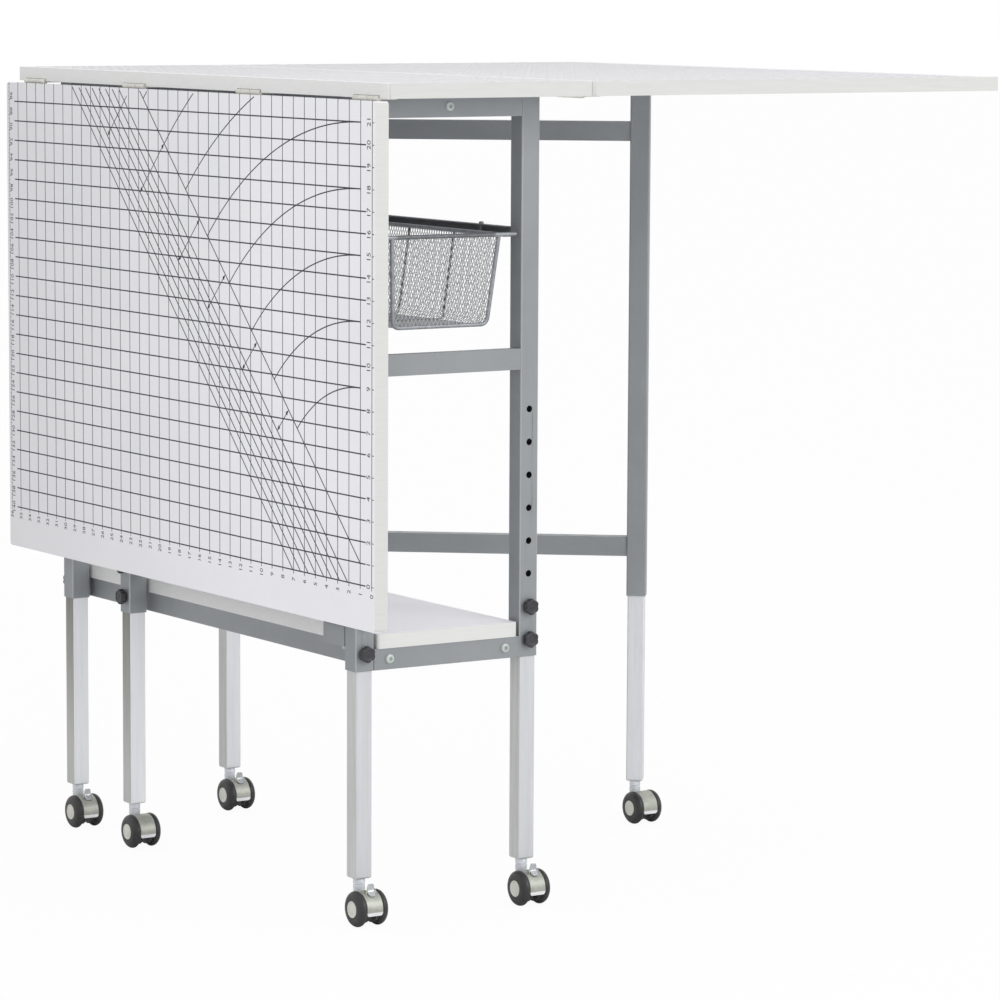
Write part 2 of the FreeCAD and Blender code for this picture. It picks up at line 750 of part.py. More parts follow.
def make_brake(name, x, y):
    """The foot lever on top of the hood, with its own cross pin."""
    body = new_body("brake_" + name, x, y + " - dims.trail - dims.lever_back",
                    "dims.wheel_radius + dims.lever_up")
    blade = new_sketch(body, "YZ_Plane")
    draw_polygon(blade, [
        (-7.0, -5.9), (-4.5, -3.7), (-1.5, -1.75), (0.3, -1.5), (1.5, -0.6), (1.5, 0.8),
        (0.5, 2.2), (-0.6, 9.3), (-2.0, 9.5), (-1.7, 2.2), (-2.4, 0.2), (-4.5, -2.0),
        (-7.2, -4.2),
    ])
    pad(body, blade, "dims.lever_wide", both=True)
    pin = new_sketch(body, "YZ_Plane")
    draw_circle(pin, "dims.lever_pin", size=1.0)
    pad(body, pin, "dims.lever_wide + 2 * dims.lever_gap + 2 * dims.ear_thick", both=True)


for name, x, y, turn in LEGS:
    make_caster(name, x, y, name in BRAKED)
    make_wheels(name, x, y)
    if name in BRAKED:
        make_brake(name, x, y)


# ---------------------------------------------------------------- knobs

def make_knob(label, x, y, z, turn):
    """A six-lobed clamping knob whose screw stops just short of the leg."""
    body = new_body(label, x, y, z, turn)
    grip = new_sketch(body, "XZ_Plane", dz="dims.knob_gap + dims.knob_collar")
    draw_circle(grip, "dims.knob_dia")
    head = pad(body, grip, "dims.knob_tall")
    round_edges(body, head, "dims.knob_round", lambda e: isinstance(e.Curve, Part.Circle))
    flute = new_sketch(body, "XZ_Plane", dx="dims.flute_offset",
                       dz="dims.knob_gap + dims.knob_collar + dims.knob_tall")
    draw_circle(flute, "dims.flute_dia")
    scoop = pocket(body, flute, "dims.knob_tall")
    ring = body.newObject("PartDesign::PolarPattern", label + "_lobes")
    ring.Originals = [scoop]
    ring.Axis = (origin_plane(body, "Y_Axis"), [""])
    ring.Angle = 360
    bind(ring, "Occurrences", "dims.knob_lobes")
    body.Tip = ring
    collar = new_sketch(body, "XZ_Plane", dz="dims.knob_gap")
    draw_circle(collar, "dims.collar_dia")
    pad(body, collar, "dims.knob_collar + dims.knob_lap")
    stud = new_sketch(body, "XZ_Plane", dz="dims.knob_gap + dims.knob_lap")
    draw_circle(stud, "dims.knob_stud")
    pad(body, stud, "dims.knob_gap + dims.knob_lap + dims.post_wall", reverse=True)


for name, x, y, turn in LEGS:
    # The knob face is half a post away from the leg axis, on the side it points to.
    offset = " + dims.post_side / 2 * "
    knob_x = x + offset + "sin(" + turn + ")"
    knob_y = y + " - dims.post_side / 2 * cos(" + turn + ")"
    for level, step in (("low", "0"), ("high", "dims.pin_pitch")):
        make_knob("knob_%s_%s" % (name, level), knob_x, knob_y,
                  "dims.pin_first + " + step, turn)


# ---------------------------------------------------------------- baskets

def basket_section(body, wide, long, level, inset):
    """A level rectangle of the basket, drawn inset from its outer size."""
    section = new_sketch(body, "XY_Plane", dz=level)
    draw_rectangle(section, "%s - 2 * %s" % (wide, inset), "%s - 2 * %s" % (long, inset), 50)
    return section


def loft(body, kind, low, high):
    feature = body.newObject("PartDesign::" + kind, body.Label + "_loft")
    feature.Profile = low
    feature.Sections = [high]
    feature.Ruled = True
    return feature


BASKET_TALL = "(dims.basket_rim - dims.basket_base)"
BASKET_LOW_LONG = "(dims.basket_long - 2 * dims.basket_slope)"


def make_basket(name, y):
    """An open basket with four sloped sides, hung on the runners by its end wires."""
    body = new_body("basket_" + name, MID, y, "dims.basket_base")
    low = basket_section(body, "dims.basket_bottom", BASKET_LOW_LONG, "0 mm", "0")
    high = basket_section(body, "dims.basket_top", "dims.basket_long", BASKET_TALL, "0")
    loft(body, "AdditiveLoft", low, high)
    for sign in ("", "-"):
        wire = new_sketch(body, "XZ_Plane", dy=BASKET_TALL + " - dims.rim_wire / 2",
                          dz="%s(dims.basket_long - dims.rim_wire) / 2" % sign)
        draw_rectangle(wire, "dims.rim_reach", "dims.rim_wire")
        pad(body, wire, "dims.rim_wire", both=True)
    floor = basket_section(body, "dims.basket_bottom", BASKET_LOW_LONG, "dims.basket_wall",
                           "dims.basket_wall")
    mouth = basket_section(body, "dims.basket_top", "dims.basket_long",
                           BASKET_TALL + " + dims.cut_margin", "dims.basket_wall")
    body.Tip = loft(body, "SubtractiveLoft", floor, mouth)


make_basket("near", "-(dims.basket_end - dims.basket_long / 2)")
make_basket("far", "dims.basket_end - dims.basket_long / 2")


# ---------------------------------------------------------------- checks and export

doc.recompute()
for obj in doc.Objects:
    bad = [word for word in obj.State if word in ("Invalid", "Error")]
    if bad:
        raise RuntimeError("%s is %s" % (obj.Label, bad))

os.makedirs("parts", exist_ok=True)
for node in NODES:
    shape = node.Shape
    if shape.isNull() or not shape.isValid():
        raise RuntimeError("bad shape: " + node.Label)
    shape.exportStep(os.path.join("parts", node.Label + ".step"))
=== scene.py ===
import json
import math

import bmesh
import bpy
from mathutils import Matrix, Vector


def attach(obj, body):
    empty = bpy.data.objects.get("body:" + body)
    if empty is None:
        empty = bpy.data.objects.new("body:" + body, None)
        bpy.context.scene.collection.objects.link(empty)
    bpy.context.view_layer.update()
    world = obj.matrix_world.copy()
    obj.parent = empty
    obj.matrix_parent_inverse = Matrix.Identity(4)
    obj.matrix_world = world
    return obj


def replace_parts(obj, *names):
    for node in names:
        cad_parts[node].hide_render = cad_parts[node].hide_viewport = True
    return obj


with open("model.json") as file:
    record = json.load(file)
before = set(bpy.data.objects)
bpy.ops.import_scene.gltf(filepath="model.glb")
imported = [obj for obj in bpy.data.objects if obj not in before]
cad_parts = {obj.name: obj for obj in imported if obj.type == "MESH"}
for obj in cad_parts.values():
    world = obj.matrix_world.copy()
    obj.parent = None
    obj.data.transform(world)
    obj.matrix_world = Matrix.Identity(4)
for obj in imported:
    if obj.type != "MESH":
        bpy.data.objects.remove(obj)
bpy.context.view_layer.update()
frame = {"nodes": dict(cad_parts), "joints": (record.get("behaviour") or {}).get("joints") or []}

MM = 0.001
MID_X = -0.29665
SCENE = bpy.context.scene
JOINTS = {joint["name"]: joint for joint in frame["joints"]}

# Measures of the solids that the drawn pieces keep to, in mm: a tube's side, the frame's
# half length, the top's height, the hanging leaf's face and the gates' pivots.
TUBE = 25.4
FRAME_END = 371
TOP_Z = 994.5
LEAF_FACE = 158.0
GATE_PIVOT = (115.3, 330.6)


# -------- mesh building

def rel(x, y, z):
    """A point in millimetres from the frame's middle, in metres of the row frame."""
    return Vector((MID_X + x * MM, y * MM, z * MM))


def turned(matrix, segments, radius, height):
    """A ring about the matrix's Z axis, with the radius as a function of the angle."""
    ring = []
    for k in range(segments):
        a = 2 * math.pi * k / segments
        size = radius(a)
        ring.append(matrix @ Vector((size * math.cos(a), size * math.sin(a), height)))
    return ring


def hexagon(a, inner=1.0):
    """Radius of a hexagon's outline at an angle, from the radius of its inner circle."""
    return inner / math.cos((a % (math.pi / 3)) - math.pi / 6)


def in_mm(points, lift=0.0):
    """Pairs given in millimetres, the second raised by a length in metres."""
    return [(u * MM, lift + v * MM) for u, v in points]


class Shell:
    """Collects closed skins that become one mesh object."""

    def __init__(self):
        self.verts = []
        self.faces = []
        self.marks = []

    def add(self, verts, faces, mark=0):
        """Adds one skin; the mark says which of the object's materials it gets."""
        base = len(self.verts)
        self.verts += [Vector(v) for v in verts]
        self.faces += [tuple(base + i for i in face) for face in faces]
        self.marks += [mark] * len(faces)

    def loft(self, rings, mark=0, closed=False):
        """Joins equal rings of points; open lofts get a cap at both ends."""
        size = len(rings[0])
        count = len(rings)
        faces = []
        for k in range(count if closed else count - 1):
            a = k * size
            b = ((k + 1) % count) * size
            for i in range(size):
                j = (i + 1) % size
                faces.append((a + i, a + j, b + j, b + i))
        if not closed:
            faces.append(tuple(reversed(range(size))))
            faces.append(tuple(range((count - 1) * size, count * size)))
        self.add([p for ring in rings for p in ring], faces, mark)

    def lathe(self, profile, matrix, segments=48, mark=0, closed=False):
        """Turns (radius, height) points about the matrix's Z axis."""
        rings = [turned(matrix, segments, lambda a, r=radius: r, height)
                 for radius, height in profile]
        self.loft(rings, mark, closed)

    def tube(self, path, radius, sides, closed=False):
        """A round wire along a list of points, with one radius or one for each point."""
        count = len(path)
        tangents = []
        for k in range(count):
            before = path[k - 1] if (closed or k) else path[k]
            after = path[(k + 1) % count] if (closed or k < count - 1) else path[k]
            tangents.append((after - before).normalized())
        start = tangents[0]
        helper = Vector((0, 0, 1)) if abs(start.z) < 0.9 else Vector((1, 0, 0))
        side = start.cross(helper).normalized()
        rings = []
        for k in range(count):
            side = (side - tangents[k] * side.dot(tangents[k])).normalized()
            up = tangents[k].cross(side)
            size = radius[k] if isinstance(radius, (list, tuple)) else radius
            ring = []
            for i in range(sides):
                a = 2 * math.pi * i / sides
                ring.append(path[k] + (side * math.cos(a) + up * math.sin(a)) * size)
            rings.append(ring)
        self.loft(rings, closed=closed)

    def prism(self, outline, low, high, matrix):
        """Extrudes a 2-D outline between two heights of the matrix's Z axis."""
        self.loft([[matrix @ Vector((x, y, h)) for x, y in outline] for h in (low, high)])

    def build(self, name, materials, body, slot, sharp=35.0):
        """Makes the object, marks its sharp edges and lets it ride on a body."""
        mesh = bpy.data.meshes.new(name)
        mesh.from_pydata([tuple(v) for v in self.verts], [], self.faces)
        for material in materials:
            mesh.materials.append(material)
        for poly, mark in zip(mesh.polygons, self.marks):
            poly.material_index = mark
            poly.use_smooth = True
        work = bmesh.new()
        work.from_mesh(mesh)
        bmesh.ops.recalc_face_normals(work, faces=work.faces)
        for edge in work.edges:
            if len(edge.link_faces) == 2:
                edge.smooth = edge.calc_face_angle(0.0) < math.radians(sharp)
        work.to_mesh(mesh)
        work.free()
        mesh.update()
        piece = bpy.data.objects.new(name, mesh)
        SCENE.collection.objects.link(piece)
        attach(piece, body)
        return piece


def soften(piece, width):
    """Welds a solid's mesh and rounds its edges a little, so that rims catch the light."""
    join = piece.modifiers.new("join", "WELD")
    join.merge_threshold = 0.00001
    edge = piece.modifiers.new("edge", "BEVEL")
    edge.width = width
    edge.segments = 2
    edge.limit_method = "ANGLE"
    edge.angle_limit = math.radians(40)
    edge.use_clamp_overlap = True
    edge.harden_normals = True


def rounded_rect(wide, tall, radius, steps=4):
    """Outline of a rectangle with round corners, centred on the origin."""
    points = []
    for cx, cy, start in ((1, 1, 0), (-1, 1, 90), (-1, -1, 180), (1, -1, 270)):
        for k in range(steps + 1):
            a = math.radians(start + 90.0 * k / steps)
            points.append((cx * (wide / 2 - radius) + radius * math.cos(a),
                           cy * (tall / 2 - radius) + radius * math.sin(a)))
    return points


def bend_path(points, radius, steps=6, closed=False):
    """Rounds the corners of a line of points."""
    count = len(points)
    path = []
    for k in range(count):
        if not closed and k in (0, count - 1):
            path.append(points[k])
            continue
        here = points[k]
        a = points[k - 1] - here
        b = points[(k + 1) % count] - here
        angle = a.angle(b)
        reach = min(radius / math.tan(angle / 2), a.length * 0.49, b.length * 0.49)
        inner = reach * math.tan(angle / 2)
        a.normalize()
        b.normalize()
        centre = here + (a + b).normalized() * (inner / math.sin(angle / 2))
        first = here + a * reach - centre
        last = here + b * reach - centre
        for s in range(steps + 1):
            path.append(centre + first.slerp(last, s / steps) * inner)
    return path


def axes(origin, x_axis, z_axis):
    """Matrix with the given origin and local X and Z directions."""
    z = Vector(z_axis).normalized()
    x = Vector(x_axis)
    x = (x - z * x.dot(z)).normalized()
    y = z.cross(x)
    matrix = Matrix((x, y, z)).transposed().to_4x4()
    matrix.translation = origin
    return matrix


# -------- materials

def srgb(*values):
    """Linear colour of an sRGB triple given as 0 to 255."""
    out = []
    for value in values:
        c = value / 255.0
        out.append(c / 12.92 if c <= 0.04045 else ((c + 0.055) / 1.055) ** 2.4)
    return tuple(out) + (1.0,)


WHITE = srgb(255, 255, 255)


class Paint:
    """A principled material with noise-driven colour, roughness and bump."""

    def __init__(self, name):
        self.material = bpy.data.materials.new(name)
        self.material.use_nodes = True
        self.tree = self.material.node_tree
        self.shader = self.tree.nodes["Principled BSDF"]
        self.coords = self.tree.nodes.new("ShaderNodeTexCoord")
        self.last_normal = None

    def link(self, a, b):
        self.tree.links.new(a, b)

    def node(self, kind, **inputs):
        """A new shader node with some of its inputs set."""
        node = self.tree.nodes.new(kind)
        for key, value in inputs.items():
            node.inputs[key.replace("_", " ")].default_value = value
        return node

    def place(self, stretch):
        """The object coordinate, stretched along each axis."""
        mapping = self.node("ShaderNodeMapping", Scale=stretch)
        self.link(self.coords.outputs["Object"], mapping.inputs["Vector"])
        return mapping.outputs["Vector"]

    def noise(self, scale, detail=3.0, rough=0.55, stretch=(1, 1, 1), distort=0.0):
        """A cloudy factor, most of it between 0.3 and 0.7."""
        node = self.node("ShaderNodeTexNoise", Scale=scale, Detail=detail, Roughness=rough,
                         Distortion=distort)
        self.link(self.place(stretch), node.inputs["Vector"])
        return node.outputs["Fac"]

    def ramp(self, source, stops):
        """A colour from a factor, through (position, colour) stops."""
        node = self.tree.nodes.new("ShaderNodeValToRGB")
        node.color_ramp.elements[0].position = stops[0][0]
        node.color_ramp.elements[0].color = stops[0][1]
        node.color_ramp.elements[1].position = stops[-1][0]
        node.color_ramp.elements[1].color = stops[-1][1]
        for position, colour in stops[1:-1]:
            node.color_ramp.elements.new(position).color = colour
        self.link(source, node.inputs["Fac"])
        return node.outputs["Color"]

    def mottle(self, source, tone, low, high):
        """A ramp between two tints of one grey, each given as shifts of its channels."""
        return self.ramp(source, [(0.3, srgb(*(tone + shift for shift in low))),
                                  (0.7, srgb(*(tone + shift for shift in high)))])

    def spread(self, source, low, high, start=0.3, end=0.7):
        """Maps a factor between start and end onto low to high."""
        node = self.node("ShaderNodeMapRange", From_Min=start, From_Max=end, To_Min=low,
                         To_Max=high)
        self.link(source, node.inputs["Value"])
        return node.outputs["Result"]

    def split(self, kind):
        """The three parts of the object coordinate or of the object's own normal."""
        node = self.tree.nodes.new("ShaderNodeSeparateXYZ")
        self.link(self.coords.outputs[kind], node.inputs["Vector"])
        return node.outputs

    def math(self, operation, *sources):
        """The result of one operation on factors."""
        node = self.tree.nodes.new("ShaderNodeMath")
        node.operation = operation
        for socket, source in zip(node.inputs, sources):
            self.link(source, socket)
        return node.outputs[0]

    def facing(self, axis, start=0.6, end=0.8):
        """1 on faces that look along one axis of the object, 0 elsewhere."""
        size = self.math("ABSOLUTE", self.split("Normal")[axis])
        return self.spread(size, 0.0, 1.0, start, end)

    def corners(self):
        """1 on the rounded upright corners of a square tube, 0 on its faces."""
        normal = self.split("Normal")
        both = self.math("ABSOLUTE", self.math("MULTIPLY", normal["X"], normal["Y"]))
        return self.spread(both, 0.0, 1.0, 0.12, 0.4)

    def mix(self, factor, a, b, mode="MIX"):
        """Two colours mixed; each argument is a value or another node's output."""
        node = self.tree.nodes.new("ShaderNodeMix")
        node.data_type = "RGBA"
        node.blend_type = mode
        colours = [s for s in node.inputs if s.type == "RGBA"]
        for socket, value in ((node.inputs["Factor"], factor), (colours[0], a), (colours[1], b)):
            if hasattr(value, "links"):
                self.link(value, socket)
            else:
                socket.default_value = value
        return [s for s in node.outputs if s.type == "RGBA"][0]

    def colour(self, source):
        self.link(source, self.shader.inputs["Base Color"])

    def rough(self, source):
        self.link(source, self.shader.inputs["Roughness"])

    def bump(self, source, strength, distance):
        """Adds a bump on top of those before it."""
        node = self.node("ShaderNodeBump", Strength=strength, Distance=distance)
        self.link(source, node.inputs["Height"])
        if self.last_normal:
            self.link(self.last_normal, node.inputs["Normal"])
        self.last_normal = node.outputs["Normal"]
        self.link(self.last_normal, self.shader.inputs["Normal"])

    def fixed(self, **values):
        """Sets constants on the shader's own sockets."""
        for key, value in values.items():
            self.shader.inputs[key.replace("_", " ")].default_value = value


# Where the painted shade that darkens the boards towards the far end starts and ends, in metres
# along Y.
FAR_SHADE_START = -0.2
FAR_SHADE_END = 0.46


def make_laminate(name, face_tone, band_and_shade_tone, side_shade_tone=None, far_shade=1.0):
    """White satin melamine: faint mottle, fine pores and darker bands on the edges, partly their
    own colour and partly painted shade; painted shade on the sides along X and towards the far end.
    """
    p = Paint(name)
    face = p.mottle(p.noise(6.0, 4.0), face_tone, (-3, -3, 1), (2, 1, 5))
    grain = p.noise(60.0, 4.0, 0.6, (0.3, 1.0, 4.0))
    # The bands on the edges that look along Y are darker: partly the bands' own colour, partly
    # painted shade.
    band_and_shade = p.mottle(grain, band_and_shade_tone, (-3, -3, -5), (2, 2, 0))
    scuff = p.noise(38.0, 6.0, 0.7, (1.0, 0.25, 1.0), 0.6)
    marks = p.ramp(scuff, [(0.0, WHITE), (0.74, WHITE), (0.83, srgb(244, 243, 241))])
    # Painted shade on the faces that look along X.
    if side_shade_tone:
        side = p.mottle(grain, side_shade_tone, (-3, -3, -4), (2, 2, 1))
        face = p.mix(p.facing("X"), face, side)
    # Painted shade that makes the faces darker towards the far end.
    if far_shade < 1.0:
        along = p.spread(p.split("Object")["Y"], 0.0, 1.0, FAR_SHADE_START, FAR_SHADE_END)
        face = p.mix(along, face, p.mix(1.0, face, (far_shade, far_shade, far_shade, 1), "MULTIPLY"))
    board = p.mix(p.facing("Y"), face, band_and_shade)
    p.colour(p.mix(1.0, board, marks, "MULTIPLY"))
    p.rough(p.spread(p.noise(18.0, 5.0), 0.38, 0.5))
    p.bump(p.noise(900.0, 2.0), 0.12, 0.00008)
    p.bump(p.noise(45.0, 2.0), 0.05, 0.0004)
    p.fixed(Specular_IOR_Level=0.42)
    return p.material


def make_powder(name, upright):
    """Grey powder coat with a light metallic flake and orange-peel bump; upright tubes also get a
    painted highlight on their rounded upright corners.
    """
    p = Paint(name)
    cloud = p.noise(9.0, 4.0)
    base = p.mottle(cloud, 142, (0, 4, 7), (9, 13, 16))
    # Painted highlight on the rounded upright corners.
    if upright:
        corner_highlight = p.mottle(cloud, 170, (0, 4, 7), (11, 15, 18))
        base = p.mix(p.corners(), base, corner_highlight)
    flake = p.noise(2600.0, 1.0, 0.5)
    glint = p.ramp(flake, [(0.0, srgb(235, 235, 235)), (0.6, srgb(246, 246, 246)),
                           (0.78, WHITE)])
    p.colour(p.mix(1.0, base, glint, "MULTIPLY"))
    p.rough(p.spread(p.noise(60.0, 4.0), 0.36, 0.48))
    p.bump(p.noise(420.0, 2.0), 0.2, 0.00012)
    p.fixed(Metallic=0.12, Specular_IOR_Level=0.55)
    return p.material


def make_silver(name, tone, side_shade_tone, top_shade_tone=None):
    """Satin silver tube with faint draw marks along its length and painted shade on the sides that
    look along X.

    With a top tone the painted shade on the sides changes to it on their way up, from 0.10 to 0.31
    m.
    """
    p = Paint(name)
    streak = p.noise(30.0, 4.0, 0.6, (6.0, 6.0, 0.3))
    front = p.mottle(streak, tone, (-5, -4, -1), (5, 6, 9))
    # Painted shade on the sides that look along X.
    side = p.mottle(streak, side_shade_tone, (-6, -5, -8), (8, 9, 8))
    # Painted shade that changes to the top tone higher up the sides.
    if top_shade_tone:
        upper_shade = p.mottle(streak, top_shade_tone, (-5, -5, -10), (8, 8, 3))
        side = p.mix(p.spread(p.split("Object")["Z"], 0.0, 1.0, 0.10, 0.31), side, upper_shade)
    p.colour(p.mix(p.facing("X", 0.7, 0.9), front, side))
    p.rough(p.spread(p.noise(80.0, 3.0, 0.6, (4.0, 4.0, 0.2)), 0.3, 0.42))
    p.bump(p.noise(220.0, 2.0, 0.5, (5.0, 5.0, 0.15)), 0.08, 0.00006)
    p.fixed(Metallic=0.25, Specular_IOR_Level=0.5)
    return p.material


def make_chrome():
    """Chrome plate with a few hazy patches."""
    p = Paint("chrome_plate")
    haze = p.noise(55.0, 5.0, 0.6)
    p.colour(p.ramp(haze, [(0.3, srgb(184, 188, 191)), (0.7, srgb(206, 209, 212))]))
    p.rough(p.spread(haze, 0.17, 0.3))
    p.bump(p.noise(160.0, 2.0), 0.03, 0.00008)
    p.fixed(Metallic=1.0)
    return p.material


def make_hood_chrome():
    """Chrome of the wheel hood: hazy green-grey above a lower lip, up to 20 mm, with a painted
    bright reflection.
    """
    p = Paint("chrome_hood")
    haze = p.noise(120.0, 5.0, 0.65)
    dull = p.ramp(haze, [(0.3, srgb(158, 160, 150)), (0.7, srgb(182, 184, 176))])
    # Painted bright reflection on the lower lip.
    lip_reflection = p.ramp(haze, [(0.3, srgb(240, 240, 242)), (0.7, srgb(250, 250, 252))])
    p.colour(p.mix(p.spread(p.split("Object")["Z"], 1.0, 0.0, 0.0185, 0.0200), dull, lip_reflection))
    p.rough(p.spread(haze, 0.36, 0.48))
    p.bump(p.noise(160.0, 2.0), 0.03, 0.00008)
    p.fixed(Metallic=0.6)
    return p.material


def make_metal(name, low, high, rough, scale=70.0, metallic=0.9):
    """Plated steel with mottled tint."""
    p = Paint(name)
    blot = p.noise(scale, 6.0, 0.65)
    p.colour(p.ramp(blot, [(0.32, low), (0.68, high)]))
    p.rough(p.spread(p.noise(scale * 2.0, 4.0), rough, rough + 0.16))
    p.bump(p.noise(scale * 5.0, 2.0), 0.06, 0.00008)
    p.fixed(Metallic=metallic)
    return p.material


def make_plastic(name, low, high, rough, grain=900.0, strength=0.25):
    """Moulded plastic with a fine spark-eroded grain and faint dust in scattered spots."""
    p = Paint(name)
    tone = p.noise(35.0, 4.0)
    base = p.ramp(tone, [(0.3, low), (0.7, high)])
    dust = p.ramp(p.noise(210.0, 5.0, 0.7),
                  [(0.0, WHITE), (0.6, WHITE), (0.85, srgb(228, 228, 226))])
    p.colour(p.mix(1.0, base, dust, "MULTIPLY"))
    p.rough(p.spread(p.noise(120.0, 3.0), rough, rough + 0.12))
    p.bump(p.noise(grain, 2.0), strength, 0.00008)
    return p.material


# Copies of one laminate that differ in their painted shade: on the edge bands, on the sides along X
# and towards the far end.
LAMINATE_TOP = make_laminate("white_laminate", 246, 206, 233, 0.94)
LAMINATE_LEAF = make_laminate("white_laminate_leaf", 244, 209, far_shade=0.81)
LAMINATE_SHELF = make_laminate("white_laminate_shelf", 245, 216, 224)
# The posts get the painted corner highlight; the rails, the beam and the right gate's post do not.
POWDER = make_powder("grey_powder_coat", True)
POWDER_GATE = make_powder("grey_powder_coat_gate", False)
# Copies of one silver that differ in painted light and shade: a lighter front tone on legs that
# stand in shade, painted shade on the sides along X, and a darker painted shade higher up the sides
# of the far left and left gate legs.
SILVER = make_silver("satin_silver_tube", 202, 197)
SILVER_GATE = make_silver("satin_silver_gate_tube", 220, 190)
SILVER_LEFT = make_silver("satin_silver_left_tube", 238, 184, 120)
CHROME = make_chrome()
HOOD = make_hood_chrome()
NECK = make_metal("neck_satin_plate", srgb(206, 209, 215), srgb(228, 231, 236), 0.36, 90.0, 0.3)
TYRE = make_plastic("black_tyre", srgb(36, 35, 37), srgb(48, 47, 49), 0.3)
HUB = make_plastic("hub_cap_grey", srgb(200, 199, 191), srgb(220, 219, 211), 0.3, 700.0, 0.1)
KNOB = make_plastic("knob_black", srgb(42, 42, 45), srgb(54, 54, 58), 0.38)
RUNNER = make_metal("runner_dark_paint", srgb(90, 91, 94), srgb(104, 105, 108), 0.42, 50.0, 0.0)
ZINC = make_metal("zinc_plate", srgb(176, 184, 180), srgb(198, 206, 202), 0.36, 70.0, 0.3)
SOCKET = make_metal("zinc_socket_shade", srgb(140, 149, 145), srgb(160, 169, 165), 0.5, 90.0, 0.2)
HINGE = make_metal("cream_zinc_hinge", srgb(206, 205, 196), srgb(234, 233, 226), 0.38, 110.0, 0.3)
WIRE = make_metal("basket_silver_wire", srgb(136, 139, 143), srgb(162, 165, 169), 0.32, 160.0, 0.45)
MESH = make_metal("basket_mesh_strand", srgb(166, 168, 170), srgb(192, 194, 196), 0.4, 160.0, 0.25)
STAY = make_metal("basket_stay_wire", srgb(96, 98, 102), srgb(120, 122, 126), 0.4, 160.0, 0.35)
STOP = make_metal("stop_grey_zinc", srgb(112, 115, 113), srgb(146, 149, 146), 0.4, 90.0, 0.4)
INK = make_plastic("print_ink", srgb(38, 39, 45), srgb(48, 49, 56), 0.5, 500.0, 0.05)


# -------- carried-over CAD nodes

# Material and edge bevel in metres of the CAD solids that are drawn as they are.
DRESS = [
    (LAMINATE_TOP, 0.0008, ("centre_panel", "right_leaf")),
    (LAMINATE_LEAF, 0.0008, ("left_leaf",)),
    (LAMINATE_SHELF, 0.0008, ("shelf_board",)),
    (POWDER, 0.0004, ("post_near_left", "post_far_left", "post_near_right", "post_far_right",
                      "post_left_gate")),
    (POWDER_GATE, 0.0004, ("end_rails_near", "end_rails_far", "centre_beam", "side_rails",
                           "gate_rails_left", "gate_rails_right", "post_right_gate")),
    (SILVER, 0.0003, ("leg_near_left", "leg_near_right")),
    (SILVER_GATE, 0.0003, ("leg_far_right", "leg_right_gate")),
    (SILVER_LEFT, 0.0003, ("leg_far_left", "leg_left_gate")),
    (RUNNER, 0.0004, ("basket_runners",)),
    (HINGE, 0.0002, ("panel_hinges", "left_leaf_hinges", "right_leaf_hinges")),
]
for material, width, names in DRESS:
    for node_name in names:
        node = frame["nodes"][node_name]
        if not node.material_slots:
            node.data.materials.append(material)
        for index in range(len(node.material_slots)):
            node.material_slots[index].material = material
        soften(node, width)

LEGS = ("near_left", "near_right", "far_left", "far_right", "left_gate", "right_gate")


# -------- casters and wheels

# Radii from the wheels' axle and half widths from the caster's middle plane, in mm.
WHEEL_R = 21.5
DISC_R = 10.6
HOOD_R = 21.0
HOOD_HALF = 10.8
AXLE_HALF = 19
# The hood's two ends as angles about the axle, in degrees from the level.
HOOD_ENDS = (-18.0, 198.0)


def tyre_profile():
    """Closed outline of one domed tyre: radius and distance from the middle plane, in mm."""
    tread = [(2.5, 4.4), (17.4, 4.4), (17.4, 9.2), (18.6, 9.6), (19.8, 10.3), (20.7, 11.2),
             (21.25, 12.2), (WHEEL_R, 13.3)]
    dome = []
    for k in range(11):
        a = math.radians(4 + 80.0 * k / 10)
        dome.append((DISC_R + (WHEEL_R - DISC_R) * math.cos(a) ** 0.62,
                     13.6 + 6.7 * math.sin(a) ** 1.1))
    return tread + dome + [(DISC_R, 20.3), (10.2, 19.6), (2.5, 19.6)]


HUB_CAP = ((2.0, 19.0), (10.0, 19.0), (10.0, 20.4), (9.6, 20.8), (8.9, 20.9), (8.3, 20.75),
           (7.9, 20.35), (4.4, 20.25), (4.0, 20.5), (3.4, 20.7), (0.4, 20.8))


def make_wheel_pair(name):
    """Two domed tyres with proud hub caps on one axle."""
    centre = Vector(JOINTS["wheels_%s_roll" % name]["pos_m"])
    tyres = Shell()
    hubs = Shell()
    for sign in (-1, 1):
        turn = axes(centre, (0, 1, 0), (sign, 0, 0))
        tyres.lathe(in_mm(tyre_profile()), turn, 64, closed=True)
        hubs.lathe(in_mm(HUB_CAP), turn, 48)
    axle = axes(centre, (0, 1, 0), (1, 0, 0))
    tyres.lathe(in_mm([(2.4, -AXLE_HALF), (2.4, AXLE_HALF)]), axle, 24)
    wheel = tyres.build("tyres_" + name, [TYRE], "wheels_" + name, "wheel_black")
    hubs.build("hub_caps_" + name, [HUB], "wheels_" + name, "caster_chrome")
    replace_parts(wheel, "wheels_" + name)


def hood_angle(share):
    """Angle about the axle at a share of the way from one end of the hood to the other."""
    first, last = HOOD_ENDS
    return math.radians(first + (last - first) * share)


# Radius and height above the top of the caster's neck, in mm.
NECK_PROFILE = ((5.6, -27), (6.4, -23), (7.1, -14), (7.25, -8.4), (6.5, -7.7), (6.5, -7.0),
                (7.25, -6.3), (7.25, -0.8), (6.8, -0.1), (5.0, 0))
STEM_PROFILE = ((4.4, -3), (4.4, 24), (4.0, 25), (4.0, 26.5), (4.45, 27.5), (4.2, 29.5),
                (3.0, 30.2))
# The ears that hold the brake lever's pin, along Y and Z from the pin.
EAR = ((-2.0, -3.2), (2.0, -3.2), (2.0, 0.8), (1.4, 1.7), (0.5, 2.0), (-0.5, 2.0), (-1.4, 1.7),
       (-2.0, 0.8))


